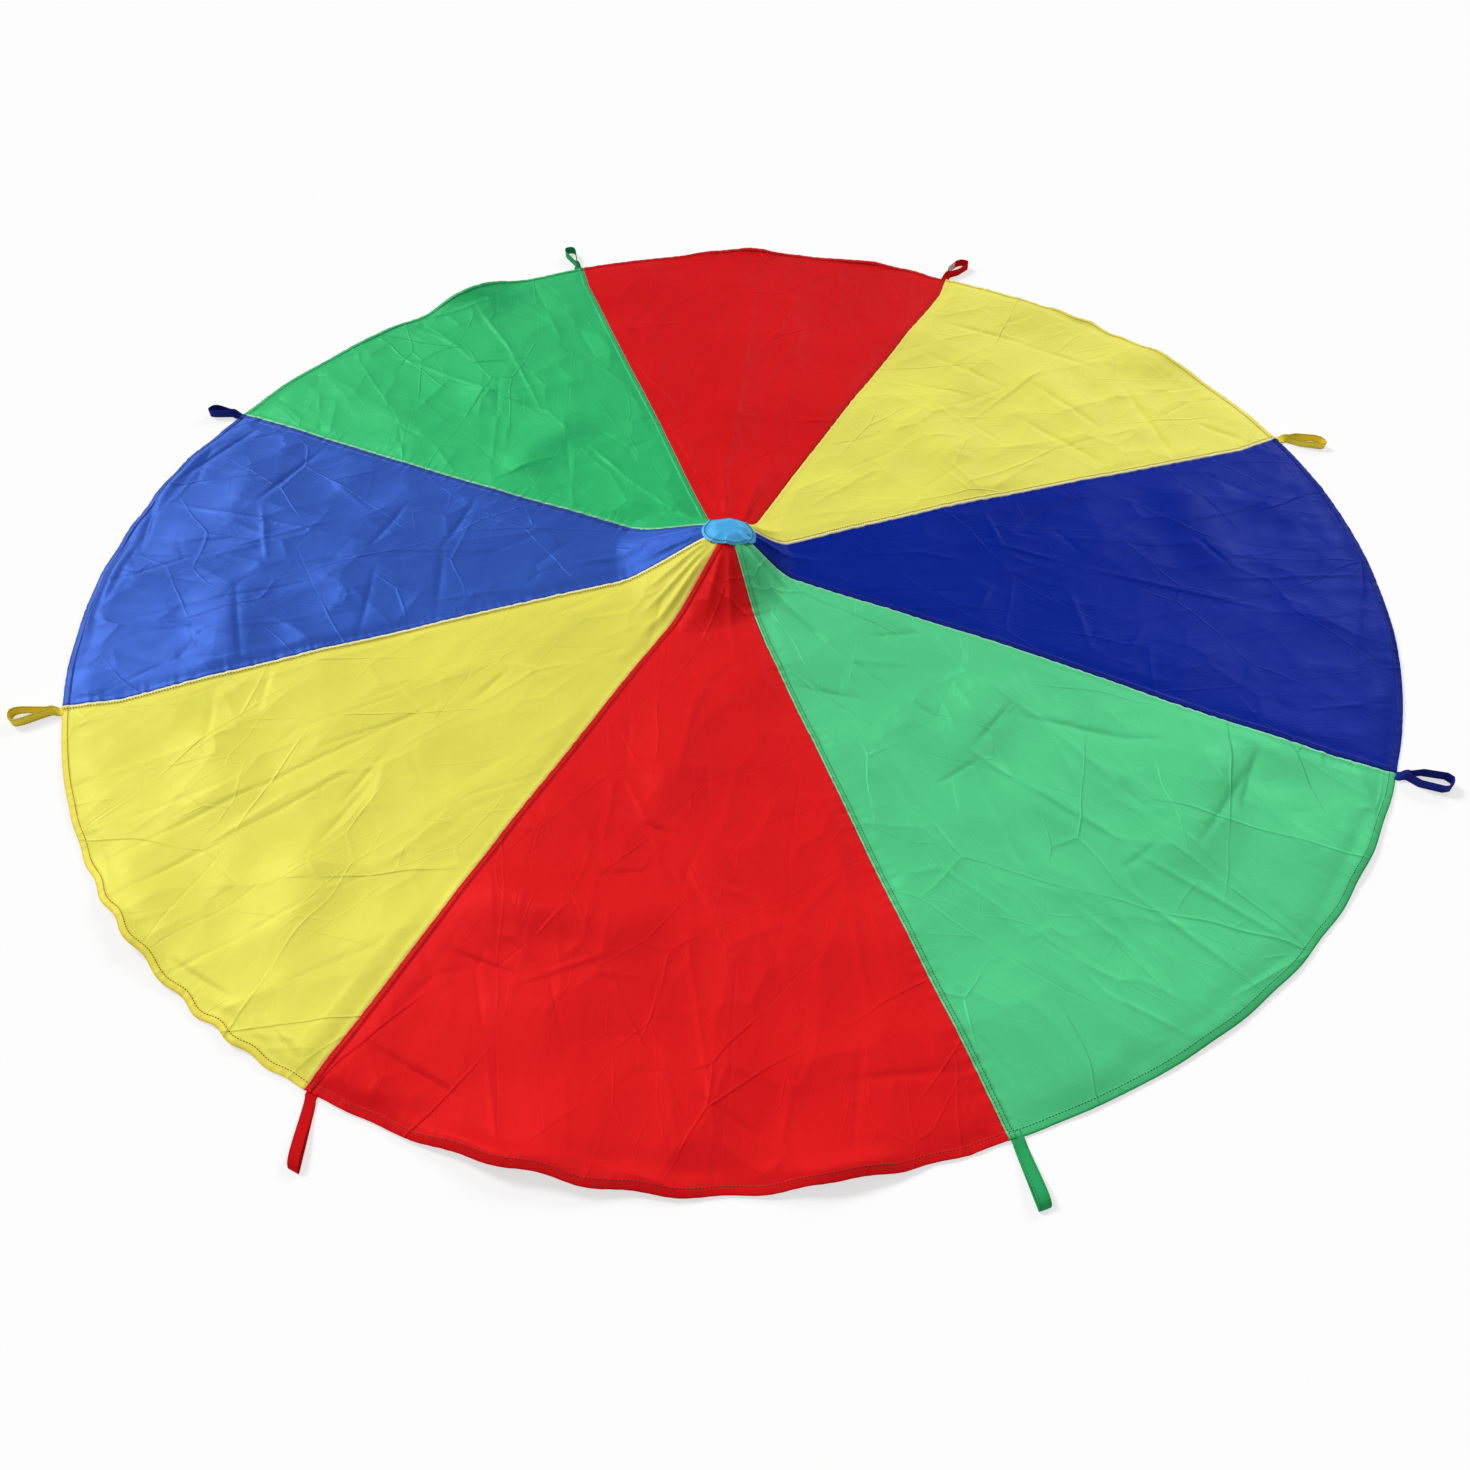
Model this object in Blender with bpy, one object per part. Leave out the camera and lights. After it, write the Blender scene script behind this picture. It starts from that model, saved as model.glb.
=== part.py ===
"""Play parachute lying open on a floor.

Eight wedge-shaped gores are seamed into a round canopy. A small cap is sewn over the place where
their points meet, a rolled hem runs round the rim, and one loop of folded strap hangs from the hem
beside each seam. Metres, +Z up. The origin is on the floor under the middle of the canopy, and
seam 1 runs out along +X. Seams, gores and loops are numbered anticlockwise from above.
"""

import math

import bmesh
import bpy
from mathutils import Matrix, Vector

# The canopy's cut and sewing
GORE_COUNT = 8
CANOPY_RADIUS = 1.0
SHEET = 0.001
FOLD_EXTRA = 0.0006
FOLD_STEP = 0.0004
HEM_WIDTH = 0.010
SEAM_FOLD_WIDTH = 0.008
SEAM_GAP = 0.0003
TIP_RADIUS = 0.020

# The cap over the gores' points
CAP_RADIUS = 0.040
CAP_SHEET = 0.001
CAP_SEAT_GAP = 0.0005

# The hand loops
STRAP_WIDTH = 0.015
STRAP_THICKNESS = 0.0008
STRAP_SLIT = 0.0004
STRAP_LEG = 0.084
HINGE_GAP = 0.0005
HINGE_LIFT = 0.0007
TWIST_START = 0.001
TWIST_LENGTH = 0.018

# The rounded root where a loop's two ends are sewn together, on its hinge line
NOSE_RADIUS = STRAP_THICKNESS + STRAP_SLIT / 2
HINGE_HEIGHT = SHEET + FOLD_EXTRA + HINGE_LIFT

# The blank tab sewn inside one loop
TAB_LOOP = 2
TAB_LENGTH = 0.032
TAB_WIDTH = 0.0125
TAB_SHEET = 0.0006
TAB_GAP = 0.0003
TAB_PLACE_SHARE = 0.30

# The stitching
THREAD_RADIUS = 0.00035
THREAD_GAP = 0.0003
SEAM_STITCH_INSET = 0.0055
HEM_STITCH_INSET = 0.008
CAP_STITCH_INSET = 0.004

# How the cloth lies: the hump in the middle, which leans a little, and the flats it rests on
HUB_RISE = 0.060
HUB_TOP_RADIUS = 0.028
HUB_FOOT_RADIUS = 0.130
HUB_LEAN_X = -0.0095
HUB_LEAN_Y = 0.0080
FLAT_CUT = 0.0005
HUB_FOOT_SHARES = (0.80, 0.82, 0.90, 1.25, 1.05, 1.45, 1.10, 0.88)

# The rim: how far out it lies, by direction from +X
RIM_SHARES = (
    1.004, 0.992, 0.988, 0.992, 1.006, 0.984, 0.991, 0.997,
    0.998, 1.001, 0.999, 1.008, 0.998, 1.004, 1.001, 1.002,
)

# Each seam's turn from its even place, over most of its run and where the hem draws its end in
SEAM_DRIFT_DEG = (-0.8, 0.2, 1.2, 1.4, -0.2, -1.4, -0.9, -0.6)
SEAM_END_DEG = (0.1, 1.1, 0.8, 1.4, -1.0, -1.4, -0.9, -0.1)
SEAM_END_REACH = 0.080

# Main folds: direction and heading in degrees, then distance out, length and height as shares
FOLD_LENGTH = 0.30
FOLD_HALF_WIDTH = 0.045
FOLD_HEIGHT = 0.012
MAIN_FOLD_SHARES = (
    (17.6, 91, 0.46, 0.80, 0.70),
    (18.4, 96, 0.74, 0.60, 0.65),
    (71.4, 67, 0.53, 1.60, 0.65),
    (63.2, 59, 0.75, 1.00, 0.45),
    (117.1, 43, 0.46, 0.60, 0.55),
    (171.4, 95, 0.77, 0.60, 0.60),
    (192.5, 90, 0.81, 0.55, 0.60),
    (211.8, 65, 0.83, 0.50, 0.65),
    (234.6, 146, 0.69, 0.80, 0.85),
    (241.4, 72, 0.39, 0.70, 0.55),
    (296.6, 47, 0.50, 0.60, 0.85),
    (302.5, 46, 0.79, 0.70, 0.65),
    (345.3, 82, 0.76, 1.00, 0.50),
)

# Places where the hem lifts off the floor: direction and span in degrees, height as a share
LIFT_HEIGHT = 0.014
LIFT_REACH = 0.120
RIM_LIFT_SHARES = (
    (17.0, 4.0, 0.65),
    (70.4, 5.0, 0.60),
    (104.8, 4.5, 1.00),
    (203.8, 4.0, 0.60),
    (240.0, 4.5, 0.85),
    (258.5, 3.5, 0.60),
)

# How each loop lies: turn on its side and drift of its run in degrees, then half the width of its
# eye, its length laid out, and its seat from the seam in strap widths
EYE_HALF_WIDTH = 0.012
LOOP_LAY_SHARES = (
    (90, -30, 0.90, 0.90, -0.30),
    (90, -13, 1.00, 0.98, 0.00),
    (90, 1, 0.80, 0.98, 0.70),
    (90, 14, 0.60, 0.72, 0.50),
    (90, -5, 0.85, 0.90, 0.70),
    (0, 27, 0.34, 0.91, 0.75),
    (0, -5, 0.38, 0.93, 0.60),
    (90, 10, 0.95, 0.93, -0.30),
)

# The meshes' divisions
OUTER_RINGS = 16
RING_CROWDING = 1.5
COLUMNS = 10
CAP_SEGMENTS = 32
LEG_STEPS = 18
LEG_CROWDING = 1.4
NOSE_STEPS = 4
NOSE_HOLD_SHARE = 0.45
TIP_PULL = 2.25

# Colours as linear RGB, one for each gore of a group of four
CLOTH_COLOURS = (
    ("yellow", (0.760, 0.680, 0.090)),
    ("red", (0.620, 0.012, 0.018)),
    ("green", (0.040, 0.450, 0.135)),
    ("blue", (0.014, 0.050, 0.400)),
)
CAP_COLOUR = (0.060, 0.400, 0.830)
TAB_COLOUR = (0.780, 0.780, 0.760)
THREAD_COLOUR = (0.050, 0.030, 0.025)
CLOTH_ROUGHNESS = 0.45
THREAD_ROUGHNESS = 0.8


def smooth(share):
    share = min(1.0, max(0.0, share))
    return share * share * (3 - 2 * share)


def around(shares, angle):
    """Reads a table of shares that lie evenly round the circle, easing from each to the next."""
    place = (angle / math.tau % 1) * len(shares)
    index = int(place)
    ease = smooth(place - index)
    return shares[index % len(shares)] * (1 - ease) + shares[(index + 1) % len(shares)] * ease


def turn_between(angle, degrees):
    """The signed angle in degrees from a direction to another."""
    return (math.degrees(angle) - degrees + 180) % 360 - 180


def even_angle(seam):
    return math.tau * seam / GORE_COUNT


def seam_angle(seam, radius=CANOPY_RADIUS):
    near_rim = smooth((radius + SEAM_END_REACH - CANOPY_RADIUS) / SEAM_END_REACH)
    drift, end = SEAM_DRIFT_DEG[seam % GORE_COUNT], SEAM_END_DEG[seam % GORE_COUNT]
    return even_angle(seam) + math.radians(drift + (end - drift) * near_rim)


def rim_radius(angle):
    return CANOPY_RADIUS * around(RIM_SHARES, angle)


def hump_height(radius, angle):
    foot = HUB_FOOT_RADIUS * around(HUB_FOOT_SHARES, angle)
    return HUB_RISE * (1 - smooth((radius - HUB_TOP_RADIUS) / (foot - HUB_TOP_RADIUS)))


def fold_height(radius, angle):
    """The main folds' ridges, which swell along their length and across their width."""
    point = Vector((radius * math.cos(angle), radius * math.sin(angle)))
    height = 0.0
    for direction, heading, out_share, length_share, height_share in MAIN_FOLD_SHARES:
        away = Matrix.Rotation(math.radians(direction), 2) @ Vector((CANOPY_RADIUS * out_share, 0))
        along, across = Matrix.Rotation(-math.radians(heading), 2) @ (point - away)
        bulge = (across / FOLD_HALF_WIDTH) ** 2 + (2 * along / (FOLD_LENGTH * length_share)) ** 4
        height += FOLD_HEIGHT * height_share * math.exp(-bulge)
    return height


def lift_height(radius, angle):
    near_rim = smooth((radius - rim_radius(angle) + LIFT_REACH) / LIFT_REACH)
    height = 0.0
    for direction, span, height_share in RIM_LIFT_SHARES:
        height += LIFT_HEIGHT * height_share * math.exp(-((turn_between(angle, direction) / span) ** 2))
    return height * near_rim


def lay_height(radius, angle):
    """The height of the cloth's underside, flat on the floor wherever no fold lifts it."""
    height = hump_height(radius, angle) + fold_height(radius, angle) + lift_height(radius, angle)
    return max(0.0, height - FLAT_CUT)


def ring_radii(angle):
    """The radii of the canopy's rings of points: under the cap, out to the hem, and the hem."""
    rim = rim_radius(angle)
    open_edge = rim - HEM_WIDTH - FOLD_STEP
    radii = [TIP_RADIUS, (TIP_RADIUS + CAP_RADIUS) / 2, CAP_RADIUS]
    for ring in range(1, OUTER_RINGS + 1):
        radii.append(CAP_RADIUS + (open_edge - CAP_RADIUS) * (ring / OUTER_RINGS) ** RING_CROWDING)
    return radii + [rim - HEM_WIDTH, rim]


def column_angles(gore, ring):
    """The directions of a gore's points on one ring: its seam fold, then even steps across it."""
    near, far = (ring_radii(seam_angle(seam))[ring] for seam in (gore, gore + 1))
    first, last = seam_angle(gore, near), seam_angle(gore + 1, far)
    start = first + math.asin((SEAM_FOLD_WIDTH + FOLD_STEP) / near)
    end = last - math.asin(SEAM_GAP / 2 / far)
    angles = [first + math.asin(SEAM_GAP / 2 / near), first + math.asin(SEAM_FOLD_WIDTH / near)]
    return angles + [start + (end - start) * i / COLUMNS for i in range(COLUMNS + 1)]


def column_height(gore, column, radius, angle):
    """The underside's height at a gore's point: out from under the cap, a seam is level across."""
    in_seam = column < 2 and radius > CAP_RADIUS
    return lay_height(radius, seam_angle(gore, radius) if in_seam else angle)


def cloth_point(radius, angle, height):
    """A point of the canopy, carried sideways with the leaning hump."""
    lean = 1 - min(1.0, radius / CANOPY_RADIUS) ** 2
    return Vector((
        radius * math.cos(angle) + HUB_LEAN_X * lean,
        radius * math.sin(angle) + HUB_LEAN_Y * lean,
        height,
    ))


def ring_height(radius, angle):
    """The underside's height on the straight line between the two nearest rings of points."""
    radii = ring_radii(angle)
    outer = next(i for i, value in enumerate(radii) if value >= radius)
    inner = max(0, outer - 1)
    if inner == outer:
        return lay_height(radii[0], angle)
    share = (radius - radii[inner]) / (radii[outer] - radii[inner])
    return lay_height(radii[inner], angle) * (1 - share) + lay_height(radii[outer], angle) * share


def principled(name, colour, roughness):
    material = bpy.data.materials.new(name)
    material.use_nodes = True
    shader = material.node_tree.nodes["Principled BSDF"]
    shader.inputs["Base Color"].default_value = (*colour, 1.0)
    shader.inputs["Roughness"].default_value = roughness
    shader.inputs["Metallic"].default_value = 0.0
    return material


def add_mesh_object(name, mesh_source, material):
    mesh = bpy.data.meshes.new(name)
    bmesh.ops.recalc_face_normals(mesh_source, faces=mesh_source.faces)
    mesh_source.to_mesh(mesh)
    mesh_source.free()
    mesh.shade_smooth()
    mesh.set_sharp_from_angle(angle=math.radians(40))
    mesh.materials.append(material)
    part = bpy.data.objects.new(name, mesh)
    bpy.context.scene.collection.objects.link(part)
    return part


def thicken_upwards(sheet, thickness, fold_layer=None):
    """Extrudes an open sheet straight up into a closed solid, thicker where it is folded."""
    raised = bmesh.ops.extrude_face_region(sheet, geom=sheet.faces[:])
    for item in raised["geom"]:
        if isinstance(item, bmesh.types.BMVert):
            item.co.z += thickness + (item[fold_layer] if fold_layer else 0.0)


def build_gore(gore, name, material):
    sheet = bmesh.new()
    fold = sheet.verts.layers.float.new("fold")
    rings = len(ring_radii(0))
    grid = []
    for ring in range(rings):
        row = []
        for column, angle in enumerate(column_angles(gore, ring)):
            radius = ring_radii(angle)[ring]
            height = column_height(gore, column, radius, angle)
            vertex = sheet.verts.new(cloth_point(radius, angle, height))
            vertex[fold] = FOLD_EXTRA if column < 2 or ring >= rings - 2 else 0.0
            row.append(vertex)
        grid.append(row)
    for inner, outer in zip(grid, grid[1:]):
        for i in range(len(inner) - 1):
            sheet.faces.new((inner[i], inner[i + 1], outer[i]))
            sheet.faces.new((inner[i + 1], outer[i + 1], outer[i]))
    thicken_upwards(sheet, SHEET, fold)
    return add_mesh_object(name, sheet, material)


def cap_seat(radius, angle):
    """The height of the cap's underside over the gores' folded tips."""
    return ring_height(radius, angle) + SHEET + FOLD_EXTRA + CAP_SEAT_GAP


def build_cap(material):
    sheet = bmesh.new()
    angles = [math.tau * i / CAP_SEGMENTS for i in range(CAP_SEGMENTS)]
    middle = sheet.verts.new(cloth_point(0, 0, cap_seat(0, 0)))
    radii = [radius for radius in ring_radii(0) if radius <= CAP_RADIUS]
    rings = [
        [sheet.verts.new(cloth_point(radius, angle, cap_seat(radius, angle))) for angle in angles]
        for radius in radii
    ]
    for i in range(CAP_SEGMENTS):
        after = (i + 1) % CAP_SEGMENTS
        sheet.faces.new((middle, rings[0][i], rings[0][after]))
        for inner, outer in zip(rings, rings[1:]):
            sheet.faces.new((inner[i], outer[i], inner[after]))
            sheet.faces.new((inner[after], outer[i], outer[after]))
    thicken_upwards(sheet, CAP_SHEET)
    return add_mesh_object("centre_cap", sheet, material)


def build_thread(name, points, closed, material):
    """One row of stitching, as a fine cord that lies on the cloth."""
    curve = bpy.data.curves.new(name, "CURVE")
    curve.dimensions = "3D"
    curve.bevel_depth = THREAD_RADIUS
    curve.bevel_resolution = 0
    curve.use_fill_caps = not closed
    spline = curve.splines.new("POLY")
    spline.points.add(len(points) - 1)
    for place, point in zip(spline.points, points):
        place.co = (*point, 1.0)
    spline.use_cyclic_u = closed
    curve.materials.append(material)
    thread = bpy.data.objects.new(name, curve)
    bpy.context.scene.collection.objects.link(thread)
    return thread


def thread_height(radius, angle):
    return ring_height(radius, angle) + SHEET + FOLD_EXTRA + THREAD_GAP + THREAD_RADIUS


def seam_thread_points(seam):
    points = []
    for radius in ring_radii(seam_angle(seam))[3:-1]:
        first = seam_angle(seam, radius)
        angle = first + math.asin(SEAM_STITCH_INSET / radius)
        points.append(cloth_point(radius, angle, thread_height(radius, first)))
    return points


def hem_thread_points():
    points = []
    rim_ring = len(ring_radii(0)) - 1
    for gore in range(GORE_COUNT):
        fold_edge, _, *even_steps = column_angles(gore, rim_ring)[1:]
        for angle in [fold_edge, *even_steps]:
            radius = rim_radius(angle) - HEM_STITCH_INSET
            points.append(cloth_point(radius, angle, thread_height(radius, angle)))
    return points


def cap_thread_points():
    radius = CAP_RADIUS - CAP_STITCH_INSET
    points = []
    for i in range(CAP_SEGMENTS):
        angle = math.tau * i / CAP_SEGMENTS
        height = cap_seat(radius, angle) + CAP_SHEET + THREAD_GAP + THREAD_RADIUS
        points.append(cloth_point(radius, angle, height))
    return points


def leg_points(reach, half_width):
    """One leg of a loop from its nose to its tip, in the plane of the loop, as a Bezier curve."""
    start = (STRAP_THICKNESS + STRAP_SLIT) / 2
    controls = (
        Vector((0, start)),
        Vector((reach * NOSE_HOLD_SHARE, start)),
        Vector((reach, half_width * TIP_PULL)),
        Vector((reach, 0)),
    )
    points = []
    for step in range(LEG_STEPS + 1):
        t = (step / LEG_STEPS) ** LEG_CROWDING
        weights = ((1 - t) ** 3, 3 * t * (1 - t) ** 2, 3 * t * t * (1 - t), t**3)
        points.append(sum((w * c for w, c in zip(weights, controls)), Vector((0, 0))))
    return points


def path_length(points):
    return sum((b - a).length for a, b in zip(points, points[1:]))


def strap_line(length, half_width):
    """The strap's closed middle line: up one leg, round the tip, down the other, round the nose."""
    low, high = 0.0, length
    for _ in range(40):
        reach = (low + high) / 2
        if path_length(leg_points(reach, half_width)) > length:
            high = reach
        else:
            low = reach
    out = leg_points(low, half_width)
    back = [Vector((x, -y)) for x, y in reversed(out[:-1])]
    nose = []
    for step in range(1, NOSE_STEPS):
        turn = math.pi * step / NOSE_STEPS
        nose.append(Matrix.Rotation(-turn, 2) @ Vector((0, -out[0].y)))
    return out + back + nose


def loop_place(seam):
    """Where a loop's hinge line crosses the middle of its strap, beside the seam and off the hem."""
    seat_share = LOOP_LAY_SHARES[seam][-1]
    angle = seam_angle(seam) + math.asin(STRAP_WIDTH * seat_share / CANOPY_RADIUS)
    edge = cloth_point(rim_radius(angle), angle, HINGE_HEIGHT)
    outward = Vector((math.cos(even_angle(seam)), math.sin(even_angle(seam)), 0))
    return edge + outward * (HINGE_GAP + NOSE_RADIUS)


class LoopLay:
    """Carries points of the flat loop to where the strap lies on the floor."""

    def __init__(self, seam):
        roll_degrees, self.drift_degrees, width_share, length_share, _ = LOOP_LAY_SHARES[seam]
        self.roll = math.radians(roll_degrees)
        self.line = strap_line(STRAP_LEG * length_share, EYE_HALF_WIDTH * width_share)
        self.place = Matrix.Translation(loop_place(seam)) @ Matrix.Rotation(even_angle(seam), 4, "Z")

    def normal(self, index):
        before, after = self.line[index - 1], self.line[(index + 1) % len(self.line)]
        along = (after - before).normalized()
        return Vector((along.y, -along.x))

    def point(self, index, offset, across):
        """A point beside the middle line: offset is from the strap's middle, across its width."""
        x, side = self.line[index]
        moved = self.line[index] + self.normal(index) * offset
        roll = self.roll * smooth((x - TWIST_START) / TWIST_LENGTH)
        half_stack = NOSE_RADIUS if x < 0 else abs(side) + STRAP_THICKNESS / 2
        lift = STRAP_WIDTH / 2 * math.sin(roll) + half_stack * math.cos(roll) - HINGE_HEIGHT
        lift += (HINGE_HEIGHT - NOSE_RADIUS) * (1 - smooth(x / TWIST_LENGTH))
        drift = math.tan(math.radians(self.drift_degrees)) * x * smooth(x / TWIST_LENGTH)
        turned = Matrix.Rotation(roll, 2) @ Vector((across, moved.y))
        return Vector((moved.x, turned.x + drift, turned.y + lift))


def build_strip(name, sections, closed, material):
    """A flat band through a row of four-cornered sections.

    Its faces are split from the same edge of the strap on both skins and on both legs, so that the
    skins stay parallel where the strap twists.
    """
    band = bmesh.new()
    rows = [[band.verts.new(corner) for corner in section] for section in sections]
    pairs = list(zip(rows, rows[1:])) + ([(rows[-1], rows[0])] if closed else [])
    for here, there in pairs:
        outward = here[0].co.x < there[0].co.x
        for i in range(4):
            a, b, c, d = here[i], here[(i + 1) % 4], there[(i + 1) % 4], there[i]
            for corners in ((a, b, c), (a, c, d)) if (i == 0) == outward else ((a, b, d), (b, c, d)):
                band.faces.new(corners)
    if not closed:
        band.faces.new(rows[0])
        band.faces.new(reversed(rows[-1]))
    return add_mesh_object(name, band, material)


def band_section(lay, index, middle, thickness, width):
    corners = ((1, -1), (1, 1), (-1, 1), (-1, -1))
    return [lay.point(index, middle + thickness / 2 * i, width / 2 * j) for i, j in corners]


def build_loop(seam, name, material):
    lay = LoopLay(seam)
    sections = [
        band_section(lay, index, 0.0, STRAP_THICKNESS, STRAP_WIDTH) for index in range(len(lay.line))
    ]
    loop = build_strip(name, sections, True, material)
    loop.matrix_world = lay.place
    return loop


def build_tab(material):
    """A blank tab that lies against the inside of the far leg of its loop."""
    lay = LoopLay(TAB_LOOP - 1)
    middle = STRAP_THICKNESS / 2 + TAB_GAP + TAB_SHEET / 2
    start = max(x for x, _ in lay.line) * TAB_PLACE_SHARE
    covered = [
        index for index, (x, side) in enumerate(lay.line)
        if side < 0 and start <= x <= start + TAB_LENGTH
    ]
    sections = [band_section(lay, index, middle, TAB_SHEET, TAB_WIDTH) for index in covered]
    tab = build_strip("sewn_tab", sections, False, material)
    tab.matrix_world = lay.place
    return tab


def main():
    for old in list(bpy.data.objects):
        bpy.data.objects.remove(old)
    cloths = [
        (colour, principled(f"{colour}_cloth", value, CLOTH_ROUGHNESS))
        for colour, value in CLOTH_COLOURS
    ]
    thread = principled("dark_thread", THREAD_COLOUR, THREAD_ROUGHNESS)
    for gore in range(GORE_COUNT):
        colour, cloth = cloths[gore % len(cloths)]
        build_gore(gore, f"gore_{gore + 1}_{colour}", cloth)
        build_loop(gore, f"hand_loop_{gore + 1}_{colour}", cloth)
        build_thread(f"seam_thread_{gore + 1}", seam_thread_points(gore), False, thread)
    build_cap(principled("cap_cloth", CAP_COLOUR, CLOTH_ROUGHNESS))
    build_tab(principled("tab_cloth", TAB_COLOUR, CLOTH_ROUGHNESS))
    build_thread("hem_thread", hem_thread_points(), True, thread)
    build_thread("cap_thread", cap_thread_points(), True, thread)


main()
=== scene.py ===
import math

import bpy
import numpy as np
from mathutils import Matrix, Vector


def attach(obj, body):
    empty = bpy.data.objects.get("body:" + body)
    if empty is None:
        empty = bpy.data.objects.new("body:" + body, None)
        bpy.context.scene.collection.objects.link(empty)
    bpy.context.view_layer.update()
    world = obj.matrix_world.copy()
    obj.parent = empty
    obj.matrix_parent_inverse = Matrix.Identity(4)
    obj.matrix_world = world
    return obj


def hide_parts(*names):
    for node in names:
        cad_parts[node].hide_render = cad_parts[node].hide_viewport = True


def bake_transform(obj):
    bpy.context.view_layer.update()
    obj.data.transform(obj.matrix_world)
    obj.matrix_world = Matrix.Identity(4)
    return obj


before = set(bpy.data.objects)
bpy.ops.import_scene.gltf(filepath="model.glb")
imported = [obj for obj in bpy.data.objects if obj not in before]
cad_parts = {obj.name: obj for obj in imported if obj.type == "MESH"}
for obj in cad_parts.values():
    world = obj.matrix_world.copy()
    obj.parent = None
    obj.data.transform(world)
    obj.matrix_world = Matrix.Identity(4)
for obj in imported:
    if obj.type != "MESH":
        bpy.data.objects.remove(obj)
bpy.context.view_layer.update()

TAU = math.tau
GORES = 8
COLOURS = ("yellow", "red", "green", "blue")

# The canopy's size and sewing, metres
SEAM_BAND = 0.0086
BAND_EDGE = 0.0005
BAND_RISE = 0.0009
HEM_WIDTH = 0.0100
HEM_RISE = 0.0008
ROLL_RISE = 0.0009
CLOTH_LIFT = 0.0009
MESH_STEP = 0.0031
TIP_RADIUS = 0.012
CREASE_LIFT = 0.0030
FACET_MIDDLE = 0.53
# How strongly each cloth is painted paler along its first and last seam: a painted highlight where the sewing
# turns its edge up
SEAM_EDGE_HIGHLIGHTS = {"yellow": (0.75, 0.10), "green": (0.28, 0.40), "red": (0.0, 0.0), "blue": (0.0, 0.0)}
SEAM_HIGHLIGHT_WIDTHS = {"yellow": 0.0048, "green": 0.0016, "red": 0.001, "blue": 0.001}
LAST_SEAM_HIGHLIGHT_WIDTH = 0.0036
STITCH_INSETS = {
    "yellow": (0.0058, 0.0075), "red": (0.0026, 0.0072), "green": (0.0026, 0.0072), "blue": (0.0026, 0.0072),
}
FLOOR_EASE = 0.0012
FLOOR_GAP = 0.0004
# Where the seams' bands and rolls begin, out from the middle
SEWN_FROM = 0.03
ROLL_PLACE = 0.0035
# How deep and how wide the cloth sinks into its last and its first seam
LAST_SINK = 0.0005
LAST_SINK_WIDTH = 0.0010
FIRST_SINK = 0.0003
FIRST_SINK_WIDTH = 0.0008
# The pucker along seams and hem: its size, how far it reaches, and its wave lengths
SEAM_PUCKER = 0.00055
SEAM_PUCKER_REACH = 0.011
SEAM_PUCKER_LENGTHS = (0.011, 0.018, 0.030)
HEM_PUCKER = 0.00035
HEM_PUCKER_REACH = 0.014
HEM_PUCKER_LENGTHS = (0.013, 0.021, 0.034)
# The whole sheet's facets and waves
SHEET_FACET = 0.120
SHEET_TILT = 0.020
SHEET_WAVE = 0.20
SHEET_WAVE_RISE = 0.0006
RIM_EASE = 0.045
LAY_SINK = 0.0005
# The gores' own crumples: facet spacing, stretch along the gore, turn in degrees, slope, seed,
# the share that is everywhere, and the height of the sharp crests between the facets
CRUMPLES = (
    (0.070, 1.7, 0, 0.042, 60, 0.8, 0.0007),
    (0.036, 1.7, 0, 0.036, 70, 0.3, 0.0004),
    (0.100, 3.2, 14, 0.012, 80, 1.0, 0.0013),
)
CREST_WIDTH = 0.0026
CREST_PATCH = 0.22
CRUMPLE_PATCH = 0.30
SEWN_EASE = 0.030

# The hub, which leans a little, as in the CAD
HUB_RISE = 0.060
HUB_TOP = 0.018
HUB_FOOT = 0.130
HUB_FOOT_SHARES = (0.80, 0.82, 0.90, 1.50, 1.45, 1.50, 1.20, 0.88)
LEAN = (-0.0095, 0.0080)

RIM_SHARES = (
    1.004, 0.992, 0.988, 0.992, 1.006, 0.984, 0.991, 0.997,
    0.998, 1.001, 0.999, 1.008, 0.998, 1.004, 1.001, 1.002,
)
# Each seam's turn in degrees from its even place, at these distances out: the CAD's at the last two
SEAM_RADII = (0.0, 0.20, 0.40, 0.70, 0.92, 1.00)
SEAM_TURNS = (
    (0.0, 1.4, 0.6, -0.4, -0.8, 0.1),
    (0.3, 0.6, 0.5, 0.2, 0.2, 1.1),
    (1.0, 1.4, 0.8, 1.1, 1.2, 0.8),
    (0.5, 0.8, 1.8, 1.7, 1.4, 1.4),
    (-1.0, -1.7, -1.2, -0.5, -0.2, -1.0),
    (-2.0, -3.5, -2.3, -1.7, -1.4, -1.4),
    (-1.5, -2.4, -1.4, -1.1, -0.9, -0.9),
    (0.0, 0.0, 0.6, -0.4, -0.6, -0.1),
)

# Broad folds, shared with the CAD: direction, heading, out, length and height
FOLD_LENGTH = 0.30
FOLD_HALF_WIDTH = 0.045
FOLD_HEIGHT = 0.012
MAIN_FOLDS = (
    (17.6, 91, 0.46, 0.80, 0.70),
    (18.4, 96, 0.74, 0.60, 0.65),
    (71.4, 67, 0.53, 1.60, 0.65),
    (63.2, 59, 0.75, 1.00, 0.45),
    (117.1, 43, 0.46, 0.60, 0.55),
    (171.4, 95, 0.77, 0.60, 0.60),
    (192.5, 90, 0.81, 0.55, 0.60),
    (211.8, 65, 0.83, 0.50, 0.65),
    (234.6, 146, 0.69, 0.80, 0.85),
    (241.4, 72, 0.39, 0.70, 0.55),
    (296.6, 47, 0.50, 0.60, 0.85),
    (302.5, 46, 0.79, 0.70, 0.65),
    (345.3, 82, 0.76, 1.00, 0.50),
)
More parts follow.
